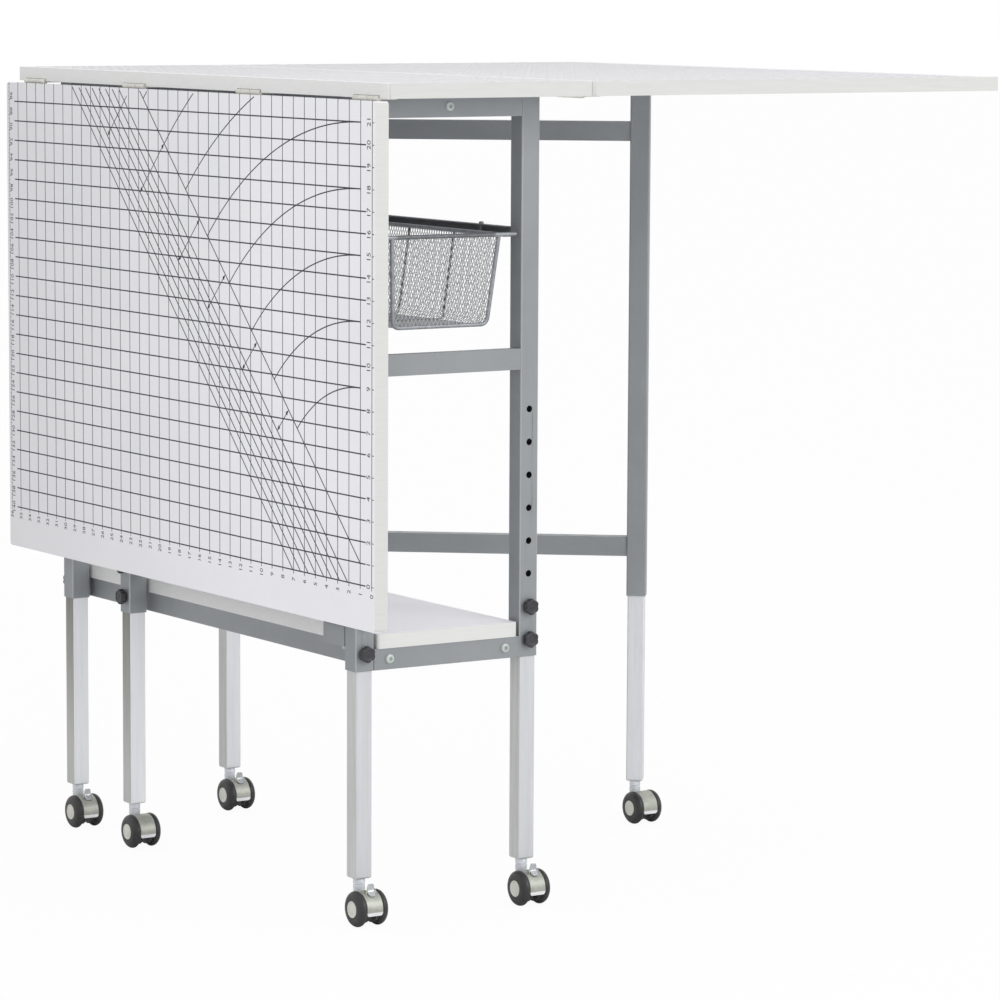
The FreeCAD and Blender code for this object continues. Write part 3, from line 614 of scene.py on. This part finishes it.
def make_hood(name, braked):
    """Chrome strip hood, centre web, tapered neck and stem of one caster."""
    centre = Vector(JOINTS["wheels_%s_roll" % name]["pos_m"])
    pivot = Vector(JOINTS["caster_%s_swivel" % name]["pos_m"])
    shell = Shell()
    rings = []
    steps = 54
    for k in range(steps + 1):
        a = hood_angle(k / steps)
        out = Vector((0, math.cos(a), math.sin(a)))
        end = min(k, steps - k)
        edge = HOOD_HALF - ((1.6, 0.55, 0.12)[end] if end < 3 else 0.0)
        section = ((-edge, 20.0), (-edge, 20.6), (0.45 - edge, 20.95), (-4.0, HOOD_R),
                   (4.0, HOOD_R), (edge - 0.45, 20.95), (edge, 20.6), (edge, 20.0),
                   (edge - 0.4, 19.8), (4.0, 19.8), (-4.0, 19.8), (0.4 - edge, 19.8))
        rings.append([centre + Vector((x * MM, 0, 0)) + out * (r * MM) for x, r in section])
    shell.loft(rings)
    corners = 48
    web = [(20.2 * math.cos(hood_angle(k / corners)), 20.2 * math.sin(hood_angle(k / corners)))
           for k in range(corners + 1)]
    shell.prism(in_mm(web), -3.9 * MM, 3.9 * MM, axes(centre, (0, 1, 0), (1, 0, 0)))
    top = pivot.z - 0.4 * MM
    upright = axes(Vector((pivot.x, pivot.y, 0)), (1, 0, 0), (0, 0, 1))
    shell.lathe(in_mm(NECK_PROFILE, top), upright, 40, 1)
    shell.lathe(in_mm(STEM_PROFILE, top), upright, 28, 1)
    if braked:
        lever = Vector(JOINTS["brake_%s_lever" % name]["pos_m"])
        for sign in (-1, 1):
            side = axes(lever + Vector((sign * 5.9 * MM, 0, 0)), (0, 1, 0), (1, 0, 0))
            shell.prism(in_mm(EAR), -0.7 * MM, 0.7 * MM, side)
    piece = shell.build("housing_" + name, [HOOD, NECK], "caster_" + name, "caster_chrome")
    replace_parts(piece, "caster_" + name)


# The brake tab from its lower end up: Y and Z from the pin, thickness and half width, in mm.
TAB_SPINE = ((-7.0, -5.1, 1.4, 2.6), (-5.6, -3.9, 1.5, 3.9), (-4.1, -2.6, 1.5, 4.6),
             (-2.4, -1.2, 1.6, 4.8), (-1.2, -0.2, 1.9, 4.8), (-0.7, 1.0, 2.1, 4.8),
             (-0.75, 2.6, 1.7, 4.8), (-0.9, 4.8, 1.5, 4.7), (-1.1, 7.0, 1.4, 4.3),
             (-1.3, 8.6, 1.3, 3.4), (-1.35, 9.25, 0.8, 2.4))
# Its cross section, as shares of the half width and of the thickness.
TAB_SECTION = ((-1, -0.5), (-1, 0.15), (-0.88, 0.5), (0.88, 0.5), (1, 0.15), (1, -0.5),
               (0.8, -0.35), (-0.8, -0.35))


def make_lever(name):
    """The curved foot tab of the wheel brake with its cross pin."""
    pivot = Vector(JOINTS["brake_%s_lever" % name]["pos_m"])
    shell = Shell()
    rings = []
    for k, (y, z, thick, half) in enumerate(TAB_SPINE):
        ahead = TAB_SPINE[min(k + 1, len(TAB_SPINE) - 1)]
        behind = TAB_SPINE[max(k - 1, 0)]
        along = Vector((0, ahead[0] - behind[0], ahead[1] - behind[1])).normalized()
        across = Vector((0, -along.z, along.y))
        rings.append([pivot + Vector((x * half * MM, y * MM, z * MM)) + across * (t * thick * MM)
                      for x, t in TAB_SECTION])
    shell.loft(rings)
    pin = in_mm([(0.9, -6.55), (1.15, -6.3), (1.15, 6.3), (0.9, 6.55)])
    shell.lathe(pin, axes(pivot, (0, 1, 0), (1, 0, 0)), 20)
    piece = shell.build("lever_" + name, [CHROME], "brake_" + name, "caster_chrome")
    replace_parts(piece, "brake_" + name)


for leg_name in LEGS:
    braked = not leg_name.endswith("gate")
    make_wheel_pair(leg_name)
    make_hood(leg_name, braked)
    if braked:
        make_lever(leg_name)


# -------- height knobs

# The grip from its back to its face: height in mm, scale, and how round the lobes are there.
GRIP = ((1.6, 0.80, 0), (1.9, 0.90, 0), (2.6, 0.965, 0), (4.4, 0.985, 0), (7.4, 1.0, 0),
        (8.5, 0.965, 0), (9.2, 0.90, 0), (9.55, 0.82, 0), (9.6, 0.74, 0.5), (9.25, 0.66, 1),
        (8.95, 0.58, 1), (8.9, 0.3, 1), (9.1, 0.2, 1), (9.15, 0.05, 1))
COLLAR = ((5.9, 0.3), (6.2, 0.5), (6.2, 1.9))
SCREW = ((3.4, -1.4), (3.9, -1.0), (3.9, 0.6))


def grip_radius(angle, scale, roundness):
    """Radius of the six-lobed grip in metres; a roundness of 1 makes it a circle."""
    wave = 0.5 + 0.5 * math.cos(6 * angle)
    lobed = scale * (10.0 - 1.25 * (1 - wave) ** 1.6)
    return (lobed + (9.3 * scale - lobed) * roundness) * MM


def make_knob(name):
    """A six-lobed clamping knob on its collar and screw."""
    joint = JOINTS[name + "_turn"]
    matrix = axes(Vector(joint["pos_m"]), (0, 0, 1), joint["axis"])
    shell = Shell()
    shell.loft([turned(matrix, 96, lambda a, s=scale, r=roundness: grip_radius(a, s, r),
                       height * MM) for height, scale, roundness in GRIP])
    shell.lathe(in_mm(COLLAR), matrix, 40)
    shell.lathe(in_mm(SCREW), matrix, 24)
    piece = shell.build(name + "_grip", [KNOB], name, "knob_black", sharp=50)
    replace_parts(piece, name)


for leg_name in LEGS:
    for level in ("low", "high"):
        make_knob("knob_%s_%s" % (leg_name, level))


# -------- wire baskets

def clip_line(origin, along, polygon):
    """Part of a line inside a convex outline, as two parameters, or None."""
    low, high = -1e4, 1e4
    count = len(polygon)
    for k in range(count):
        ax, ay = polygon[k]
        bx, by = polygon[(k + 1) % count]
        nx, ny = -(by - ay), bx - ax
        depth = nx * (origin[0] - ax) + ny * (origin[1] - ay)
        rate = nx * along[0] + ny * along[1]
        if abs(rate) < 1e-12:
            if depth < 0:
                return None
            continue
        t = -depth / rate
        if rate > 0:
            low = max(low, t)
        else:
            high = min(high, t)
    return (low, high) if high - low > SHORTEST_STRAND else None


# One cell of the mesh, across and along, a strand's radius and the shortest piece drawn, in mm.
CELL = (5.5, 10.0)
STRAND = 0.44
SHORTEST_STRAND = 1.5

# The baskets' frame wires in mm: outer end from the table's middle, length, heights, half
# widths, how far the end wires lean in on their way down, and wire radii.
BASKET_END = 366.5
BASKET_LONG = 305.0
RIM_Z = 811.8
FLOOR_Z = 704.5
RIM_HALF = 74.5
FLOOR_HALF = 65.5
BAR_HALF = 99
END_LEAN = 12.5
RIM_WIRE = 2.5
STAY_WIRE = 1.5


def weave(shell, polygon, matrix):
    """Two crossing families of fine strands, in mm, that fill a convex panel."""
    xs = [p[0] for p in polygon]
    ys = [p[1] for p in polygon]
    wide, tall = CELL
    slope = tall / wide
    for sign, lift in ((1, STRAND * 0.4), (-1, -STRAND * 0.4)):
        along = Vector((1.0, sign * slope)).normalized()
        reach = (max(ys) - min(ys)) / slope
        count = int((max(xs) - min(xs) + 2 * reach) / wide) + 3
        for k in range(count):
            start = (min(xs) - reach + (k + 0.5) * wide, (min(ys) + max(ys)) / 2)
            span = clip_line(start, along, polygon)
            if span is None:
                continue
            ends = [matrix @ (Vector((start[0] + along[0] * t, start[1] + along[1] * t, lift)) * MM)
                    for t in span]
            shell.tube(ends, STRAND * MM, 6)


def make_basket(name, sign):
    """Tapered mesh basket: rim wires, U wires, end crossbars and mesh panels."""
    body = "basket_" + name

    def at(x, step, z):
        """Point in mm: x from the middle, step from the outer end, height z."""
        return rel(x, sign * (BASKET_END - step), z)

    def cradle(shell, steps, halves, low_z, radius, wire):
        """A wire that hangs from one rim, runs under the floor and rises to the other."""
        (step_top, step_low), (half_top, half_low) = steps, halves
        shape = [at(-half_top, step_top, RIM_Z), at(-half_low, step_low, low_z),
                 at(half_low, step_low, low_z), at(half_top, step_top, RIM_Z)]
        shell.tube(bend_path(shape, radius * MM, 8), wire * MM, 12)

    frame_wires = Shell()
    inner_rim = BASKET_LONG - RIM_WIRE
    loop = [at(-RIM_HALF, RIM_WIRE, RIM_Z), at(RIM_HALF, RIM_WIRE, RIM_Z),
            at(RIM_HALF, inner_rim, RIM_Z), at(-RIM_HALF, inner_rim, RIM_Z)]
    frame_wires.tube(bend_path(loop, 6 * MM, 6, True), RIM_WIRE * MM, 14, closed=True)
    tip = RIM_WIRE * 0.8
    for step, inward in ((RIM_WIRE, END_LEAN), (inner_rim, -END_LEAN)):
        bar = [at(x, step, RIM_Z) for x in (-BAR_HALF, 0.6 - BAR_HALF, BAR_HALF - 0.6, BAR_HALF)]
        frame_wires.tube(bar, [r * MM for r in (tip, RIM_WIRE, RIM_WIRE, tip)], 14)
        cradle(frame_wires, (step, step + inward), (RIM_HALF, FLOOR_HALF), FLOOR_Z, 9.0, RIM_WIRE)
    wires = frame_wires.build("basket_frame_" + name, [WIRE], body, "basket_steel")
    stays = Shell()
    for step in (BASKET_LONG / 3, BASKET_LONG * 2 / 3):
        cradle(stays, (step, step + 11), (74.9, 65.4), FLOOR_Z - 0.6, 7.0, STAY_WIRE)
    stays.build("basket_stays_" + name, [STAY], body, "basket_steel")

    # The mesh sheet lies just inside the wires and has a bevel along each side of its floor.
    mesh = Shell()
    turn_x, low_x, high_x = 57.5, 65.9, 74.6
    low_y, high_y = END_LEAN + 1.8, 2.6
    low_z, turn_z, high_z = 704.0, 712.5, 811.0
    middle = BASKET_LONG / 2
    along = Vector((0, 1, 0))
    across = Vector((1, 0, 0))
    for side in (-1, 1):
        turn_y = low_y - (low_y - high_y) * (turn_z - low_z) / (high_z - low_z)
        for (x_a, z_a, y_a), (x_b, z_b, y_b) in (
                ((low_x, turn_z, turn_y), (high_x, high_z, high_y)),
                ((turn_x, low_z, low_y), (low_x, turn_z, turn_y))):
            foot = at(side * x_a, middle, z_a)
            up = at(side * x_b, middle, z_b) - foot
            tall = up.length / MM
            panel = [(y_a - middle, 0.0), (middle - y_a, 0.0), (middle - y_b, tall),
                     (y_b - middle, tall)]
            weave(mesh, panel, axes(foot, along, along.cross(up)))
    for step, top_step in ((low_y, high_y), (BASKET_LONG - low_y, BASKET_LONG - high_y)):
        foot = at(0, step, low_z)
        up = at(0, top_step, high_z) - foot
        tall = up.length / MM
        turn = tall * (turn_z - low_z) / (high_z - low_z)
        panel = [(-turn_x, 0.0), (turn_x, 0.0), (low_x, turn), (high_x, tall), (-high_x, tall),
                 (-low_x, turn)]
        weave(mesh, panel, axes(foot, across, across.cross(up)))
    half = middle - low_y
    weave(mesh, [(-half, -turn_x), (half, -turn_x), (half, turn_x), (-half, turn_x)],
          axes(at(0, middle, low_z), (0, 1, 0), (0, 0, 1)))
    mesh.build("basket_mesh_" + name, [MESH], body, "basket_steel")
    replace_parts(wires, "basket_" + name)


make_basket("near", -1)
make_basket("far", 1)


# -------- bolts, nuts and brackets

SEGMENTS = 36
# Rings of a screw head and of its socket, as shares of the head's radius and height.
HEAD_DOME = ((1.0, -0.12), (1.0, 0.2), (0.97, 0.5), (0.9, 0.78), (0.78, 0.93), (0.62, 0.99),
             (0.5, 1.0))
HEAD_SOCKET = ((0.42, 1.0), (0.42, 0.76), (0.08, 0.72))
# The frame screws' materials, in the order in which the piece holds them.
SCREW_MARK, SOCKET_MARK, STOP_MARK = 0, 1, 2

# X and height of the rail screws; X, Y and heights of the basket stops in their channel.
RAIL_SCREWS = ((-81, 316.2), (81, 316.2), (0, 964.3))
STOP_X = 97.1
STOP_Y = 290
CHANNEL_FLOOR = 809
CHANNEL_TOP = 820

# The gate brackets: their length, the gap from the pivot, the wall and the bolt's nut.
BRACKET_LONG = 48
BRACKET_GAP = 15
BRACKET_WALL = 2
NUT_TALL = 4.5
# Each bracket's underside, the seats of the bolt's head and nut, and the way the head points.
BRACKETS = ((330.2, 381.8, 330.2, 1), (928.3, 902.1, 953.7, -1))


def button_head(shell, origin, outward, radius, height, mark):
    """A flat domed screw head with a shaded hexagon socket."""
    matrix = axes(origin, (0, 0, 1) if abs(outward[2]) < 0.5 else (1, 0, 0), outward)
    rings = [turned(matrix, SEGMENTS, lambda a, s=share: radius * s, height * rise)
             for share, rise in HEAD_DOME]
    rings += [turned(matrix, SEGMENTS,
                     lambda a, s=share: radius * s * hexagon(a, math.cos(math.pi / 6)) * 1.1,
                     height * rise) for share, rise in HEAD_SOCKET]
    start = len(shell.marks)
    shell.loft(rings, mark)
    # The loft's last two faces are its caps: the head's underside and the socket's floor.
    for index in range(start + len(HEAD_DOME) * SEGMENTS, len(shell.marks)):
        shell.marks[index] = SOCKET_MARK
    shell.marks[-2] = mark


def hex_nut(shell, origin, outward, across, height, mark):
    """A hexagon nut with chamfered corners and a shallow round hollow in its end."""
    matrix = axes(origin, (1, 0, 0), outward)
    half = across / 2
    rings = [turned(matrix, SEGMENTS, lambda a, s=share: half * min(hexagon(a), 1.155 * s),
                    height * rise) for share, rise in ((0.9, 0), (1, 0.14), (1, 0.86), (0.9, 1))]
    rings += [turned(matrix, SEGMENTS, lambda a, s=share: half * s, height * rise)
              for share, rise in ((0.45, 1), (0.42, 0.8), (0.05, 0.8))]
    shell.loft(rings, mark)


bolts = Shell()
for end in (-1, 1):
    for x, z in RAIL_SCREWS:
        button_head(bolts, rel(x, end * FRAME_END, z), (0, end, 0), 5.75 * MM, 3 * MM, SCREW_MARK)
    for x in (-STOP_X, STOP_X):
        button_head(bolts, rel(x, end * STOP_Y, CHANNEL_TOP), (0, 0, 1), 3 * MM, 3 * MM, STOP_MARK)
        shank = [(1.7, CHANNEL_FLOOR), (2.0, CHANNEL_FLOOR + 0.3), (2.0, CHANNEL_TOP + 0.2)]
        bolts.lathe(in_mm(shank), axes(rel(x, end * STOP_Y, 0), (1, 0, 0), (0, 0, 1)), 20,
                    STOP_MARK)
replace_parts(bolts.build("frame_screws", [ZINC, SOCKET, STOP], "frame", "zinc"), "frame_bolts")


def make_brackets(name, side):
    """Two short box brackets with the pivot bolt, head and nut of one gate."""
    shell = Shell()
    x, y = (side * place for place in GATE_PIVOT)
    bore = TUBE - 2 * BRACKET_WALL
    ring = rounded_rect(TUBE * MM, TUBE * MM, 2.2 * MM)
    hollow = rounded_rect(bore * MM, bore * MM, 1.2 * MM)
    for base, head_z, nut_z, way in BRACKETS:
        matrix = axes(rel(x, y + side * BRACKET_GAP, base + TUBE / 2), (1, 0, 0), (0, -side, 0))
        ends = (0, BRACKET_LONG * MM)
        outer = [[matrix @ Vector((u, v, h)) for u, v in ring] for h in ends]
        inner = [[matrix @ Vector((u, v, h)) for u, v in hollow] for h in reversed(ends)]
        shell.loft(outer + inner, 0, closed=True)
        head = in_mm([(6.6, 0), (7.0, 0.5), (6.9, 2.2), (5.8, 3.8), (3.4, 4.45), (0.3, 4.5)])
        shell.lathe(head, axes(rel(x, y, head_z), (1, 0, 0), (0, 0, way)), SEGMENTS, 1)
        hex_nut(shell, rel(x, y, nut_z), (0, 0, -way), 11.2 * MM, NUT_TALL * MM, 1)
        shank = in_mm([(3.9, min(head_z, nut_z) - 3), (3.9, max(head_z, nut_z) + 2.5)])
        shell.lathe(shank, axes(rel(x, y, 0), (1, 0, 0), (0, 0, 1)), 24, 1)
    piece = shell.build("bracket_pair_" + name, [POWDER, ZINC], "frame", "frame_paint")
    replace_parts(piece, "gate_brackets_" + name)


make_brackets("left", -1)
make_brackets("right", 1)


# -------- printed measuring grid

INCH = 25.4
# The grid's first lines in mm, across the table and on the hanging leaf above the floor.
GRID_Y = -456.9
GRID_Z = 416.6
# How far the ink reaches into its board, and how far each kind of line stands out of it.
# Where lines cross, the higher one lies on top.
INK_DEEP = -0.25
ROW_RISE, COLUMN_RISE, BIAS_RISE, ARC_RISE, MARK_RISE = 0.05, 0.06, 0.07, 0.08, 0.09
# Line widths.
LINE = 1.1
FINE = 1.3
HEAVY = 1.6

# The grid's rows and columns, where the rows end and which of them start a whole inch in.
ROWS = 22
COLUMNS = 36
ROW_START = 0.53
ROW_END = 35.4
LATE_ROWS = (9, 12, 15, 18, 21)
TICK = 4.5
LEAF_TOP = 975.0
# Where the slanting lines and the arcs stop, in inches up from the first row.
LAST = 21.88
# The arrows between the slanting lines: place along the first line and both ends, in inches.
ARROWS = ((7.45, 0, 1.5), (10.4, 0, 2.0), (13.4, 0, 2.5), (15.9, 0, 3.0), (19.4, 0, 3.5),
          (22.4, 1.0, 4.0))


class Sheet:
    """Thin raised ink on one board face, drawn in millimetres of that face."""

    def __init__(self, to_world):
        self.shell = Shell()
        self.to_world = to_world

    def strip(self, points, width, height):
        """A line of ink with square ends; height sets which line lies on top."""
        count = len(points)
        rings = []
        for k in range(count):
            before = points[max(k - 1, 0)]
            after = points[min(k + 1, count - 1)]
            dx, dy = after[0] - before[0], after[1] - before[1]
            size = math.hypot(dx, dy)
            nx, ny = -dy / size * width / 2, dx / size * width / 2
            px, py = points[k]
            rings.append([self.to_world(px + nx, py + ny, height),
                          self.to_world(px - nx, py - ny, height),
                          self.to_world(px - nx, py - ny, INK_DEEP),
                          self.to_world(px + nx, py + ny, INK_DEEP)])
        self.shell.loft(rings)

    def shape(self, outline, height):
        """A filled outline of ink."""
        self.shell.loft([[self.to_world(u, v, INK_DEEP) for u, v in outline],
                         [self.to_world(u, v, height) for u, v in outline]])

    def number(self, value, centre, tall, wide=1.0):
        """A numeral with its middle at a point, turned by a quarter so that it reads upwards."""
        verts, faces, size = glyph(str(value))
        scale = tall / size
        self.shell.add([self.to_world(centre[0] - y * scale, centre[1] + x * scale * wide,
                                      MARK_RISE if z > 0 else INK_DEEP) for x, y, z in verts],
                       faces)


GLYPHS = {}


def glyph(text):
    """Closed mesh of a numeral centred on the origin, with its height."""
    if text in GLYPHS:
        return GLYPHS[text]
    curve = bpy.data.curves.new("numeral", "FONT")
    curve.body = text
    curve.size = 1.0
    curve.extrude = 0.01
    curve.resolution_u = 3
    letter = bpy.data.objects.new("numeral", curve)
    SCENE.collection.objects.link(letter)
    bpy.context.view_layer.update()
    mesh = bpy.data.meshes.new_from_object(
        letter.evaluated_get(bpy.context.evaluated_depsgraph_get()))
    work = bmesh.new()
    work.from_mesh(mesh)
    bmesh.ops.remove_doubles(work, verts=work.verts, dist=1e-4)
    xs = [v.co.x for v in work.verts]
    ys = [v.co.y for v in work.verts]
    mx, my = (min(xs) + max(xs)) / 2, (min(ys) + max(ys)) / 2
    work.verts.index_update()
    verts = [(v.co.x - mx, v.co.y - my, v.co.z) for v in work.verts]
    faces = [tuple(v.index for v in f.verts) for f in work.faces]
    work.free()
    bpy.data.objects.remove(letter)
    bpy.data.meshes.remove(mesh)
    bpy.data.curves.remove(curve)
    GLYPHS[text] = (verts, faces, max(ys) - min(ys))
    return GLYPHS[text]


def grid_y(g):
    """Y in mm at a number of inches along the grid."""
    return GRID_Y + INCH * g


def spot(gy, gz):
    """Millimetre point of a grid position on the hanging leaf."""
    return (-grid_y(gy), GRID_Z + INCH * gz)


def leaf_mm(u, v, h):
    """Hanging leaf: u in mm along -Y seen from outside, v in mm up."""
    return rel(-LEAF_FACE - h, -u, v)


def draw_inches(sheet):
    """Rows and columns one inch apart, with their numerals and end ticks."""
    for g in range(ROWS):
        x, z = spot(0, g)
        start = 1.0 if g in LATE_ROWS else ROW_START
        sheet.strip([spot(start, g), spot(ROW_END, g)], HEAVY, ROW_RISE)
        sheet.strip([(x, z), (x + TICK, z)], LINE * 0.8, ROW_RISE)
        sheet.number(g, (x - 7.6, z), 8.0)
    for g in range(COLUMNS + 1):
        x, z = spot(g, 0)
        sheet.strip([(x, z - TICK), (x, LEAF_TOP)], FINE if g < COLUMNS else LINE * 0.7,
                    COLUMN_RISE)
        sheet.number(g, (x, z - 10.9), 7.0)


def draw_centimetres(sheet):
    """A numeral every 20 mm and a tick every 5 mm down the far end of the leaf."""
    x = -grid_y(36.05)
    for k in range(28):
        sheet.number(86 + 2 * k, (-grid_y(35.78), 957 - 20 * k), 6.6, 1.1)
    for k in range(112):
        z = 972 - 5 * k
        sheet.strip([(x, z), (x + (3.6 if k % 4 == 0 else 2.2), z)], LINE * 0.8, ROW_RISE)


def draw_bias(sheet):
    """The 45-degree line from the first square's corner and eight lines beside it."""
    sheet.strip([spot(1, 1), spot(LAST, LAST)], HEAVY, BIAS_RISE)
    for k in range(8):
        shift = (1.5 + 0.5 * k) * math.sqrt(2)
        sheet.strip([spot(shift, 0), spot(LAST + shift, LAST)], HEAVY, BIAS_RISE)


def draw_arcs(sheet):
    """Arcs three inches apart about the first square's corner, up from the 45-degree line."""
    low = math.pi / 4
    for r in range(8, 30, 3):
        high = math.pi / 2 if r < 21 else math.asin((LAST - 1) / r)
        turns = [low + (high - low) * k / 30 for k in range(31)]
        sheet.strip([spot(1 + r * math.cos(a), 1 + r * math.sin(a)) for a in turns], LINE * 1.3,
                    ARC_RISE)


def draw_arrows(sheet):
    """Arrows across the slanting lines; the last one has a head at its far end only."""
    for m, first, last in ARROWS:
        a, b = [Vector(spot(m + s / math.sqrt(2), m - s / math.sqrt(2))) for s in (first, last)]
        way = (b - a).normalized()
        side = Vector((-way.y, way.x))
        sheet.strip([tuple(a + way * 4), tuple(b - way * 4)], LINE * 1.1, MARK_RISE)
        for tip, turn in ((a, 1), (b, -1))[1 if first else 0:]:
            sheet.shape([tuple(tip), tuple(tip + way * turn * 7.5 + side * 2.5),
                         tuple(tip + way * turn * 7.5 - side * 2.5)], MARK_RISE)


leaf_sheet = Sheet(leaf_mm)
for draw in (draw_inches, draw_centimetres, draw_bias, draw_arcs, draw_arrows):
    draw(leaf_sheet)
leaf_sheet.shell.build("print_left_leaf", [INK], "left_leaf", "laminate", sharp=20)


def top_sheet(name, body, first, count):
    """Square grid on a board that lies flat, from its first line's X in mm."""
    sheet = Sheet(lambda u, v, h: rel(u, v, TOP_Z + h))
    last = first + INCH * (count - 1)
    for g in range(COLUMNS + 1):
        sheet.strip([(first, grid_y(g)), (last, grid_y(g))], LINE, ROW_RISE)
    for k in range(count):
        x = first + INCH * k
        sheet.strip([(x, grid_y(0)), (x, grid_y(COLUMNS))], LINE, COLUMN_RISE)
    sheet.shell.build(name, [INK], body, "laminate", sharp=20)


top_sheet("print_centre_panel", "frame", -119.7, 11)
top_sheet("print_right_leaf", "right_leaf", 159.7, 23)


# -------- stage, light and camera

# How much of the floor the camera sees as plain white; the rest keeps the shadows.
FLOOR_GLOW = 0.94

# The camera fitted to the photograph: angles in radians, its place in mm from the frame's
# middle, and its focal length in pixels of a picture that is FRAME_PX wide.
YAW = 0.57578
PITCH = 0.11906
ROLL = -0.00502
CAMERA_AT = (-2780.556, -4767.321, 1122.233)
FOCAL_PX = 4423.279
FRAME_PX = 1000.0
SENSOR_MM = 36.0


def make_floor():
    """Plain pale floor that keeps the object's shadow."""
    mesh = bpy.data.meshes.new("studio_floor")
    size = 30.0
    mesh.from_pydata([(-size, -size, 0), (size, -size, 0), (size, size, 0), (-size, size, 0)],
                     [], [(0, 1, 2, 3)])
    floor = bpy.data.objects.new("studio_floor", mesh)
    SCENE.collection.objects.link(floor)
    material = bpy.data.materials.new("studio_floor")
    material.use_nodes = True
    tree = material.node_tree
    shader = tree.nodes["Principled BSDF"]
    shader.inputs["Base Color"].default_value = (0.86, 0.86, 0.86, 1)
    shader.inputs["Roughness"].default_value = 0.9
    shader.inputs["Specular IOR Level"].default_value = 0.0
    glow = tree.nodes.new("ShaderNodeEmission")
    path = tree.nodes.new("ShaderNodeLightPath")
    share = tree.nodes.new("ShaderNodeMath")
    share.operation = "MULTIPLY"
    share.inputs[1].default_value = FLOOR_GLOW
    mix = tree.nodes.new("ShaderNodeMixShader")
    tree.links.new(path.outputs["Is Camera Ray"], share.inputs[0])
    tree.links.new(share.outputs[0], mix.inputs["Fac"])
    tree.links.new(shader.outputs["BSDF"], mix.inputs[1])
    tree.links.new(glow.outputs["Emission"], mix.inputs[2])
    tree.links.new(mix.outputs["Shader"], tree.nodes["Material Output"].inputs["Surface"])
    mesh.materials.append(material)


def make_world(strength):
    """Even white light; the camera and mirror reflections see it as plain white."""
    world = bpy.data.worlds.new("studio_world")
    SCENE.world = world
    world.use_nodes = True
    tree = world.node_tree
    light = tree.nodes["Background"]
    light.inputs["Color"].default_value = (1.0, 1.0, 1.0, 1)
    light.inputs["Strength"].default_value = strength
    white = tree.nodes.new("ShaderNodeBackground")
    white.inputs["Color"].default_value = (1, 1, 1, 1)
    white.inputs["Strength"].default_value = 1.0
    path = tree.nodes.new("ShaderNodeLightPath")
    seen = path.outputs["Is Camera Ray"]
    for other in ("Is Glossy Ray", "Is Transmission Ray"):
        either = tree.nodes.new("ShaderNodeMath")
        either.operation = "MAXIMUM"
        tree.links.new(seen, either.inputs[0])
        tree.links.new(path.outputs[other], either.inputs[1])
        seen = either.outputs[0]
    mix = tree.nodes.new("ShaderNodeMixShader")
    tree.links.new(seen, mix.inputs["Fac"])
    tree.links.new(light.outputs["Background"], mix.inputs[1])
    tree.links.new(white.outputs["Background"], mix.inputs[2])
    tree.links.new(mix.outputs["Shader"], tree.nodes["World Output"].inputs["Surface"])


def make_lamp(name, place, aim, size, energy):
    """A large soft lamp."""
    data = bpy.data.lights.new(name, "AREA")
    data.shape = "SQUARE"
    data.size = size
    data.energy = energy
    lamp = bpy.data.objects.new(name, data)
    SCENE.collection.objects.link(lamp)
    lamp.location = place
    lamp.rotation_euler = (Vector(aim) - Vector(place)).to_track_quat("-Z", "Y").to_euler()


def make_camera():
    """Camera at the photograph's viewing angle."""
    ahead = Vector((math.sin(YAW) * math.cos(PITCH), math.cos(YAW) * math.cos(PITCH),
                    -math.sin(PITCH)))
    right = Vector((math.cos(YAW), -math.sin(YAW), 0))
    up = right.cross(ahead)
    turned_right = right * math.cos(ROLL) - up * math.sin(ROLL)
    turned_up = right * math.sin(ROLL) + up * math.cos(ROLL)
    data = bpy.data.cameras.new("camera")
    data.sensor_width = SENSOR_MM
    data.lens = SENSOR_MM * FOCAL_PX / FRAME_PX
    data.clip_end = 100.0
    camera = bpy.data.objects.new("camera", data)
    SCENE.collection.objects.link(camera)
    matrix = Matrix((turned_right, turned_up, -ahead)).transposed().to_4x4()
    matrix.translation = rel(*CAMERA_AT)
    camera.matrix_world = matrix
    SCENE.camera = camera


make_floor()
make_world(0.9)
make_lamp("soft_key", (1.0, -3.8, 2.3), (-0.1, 0.0, 0.5), 2.4, 52.0)
make_camera()
SCENE.view_settings.view_transform = "Standard"
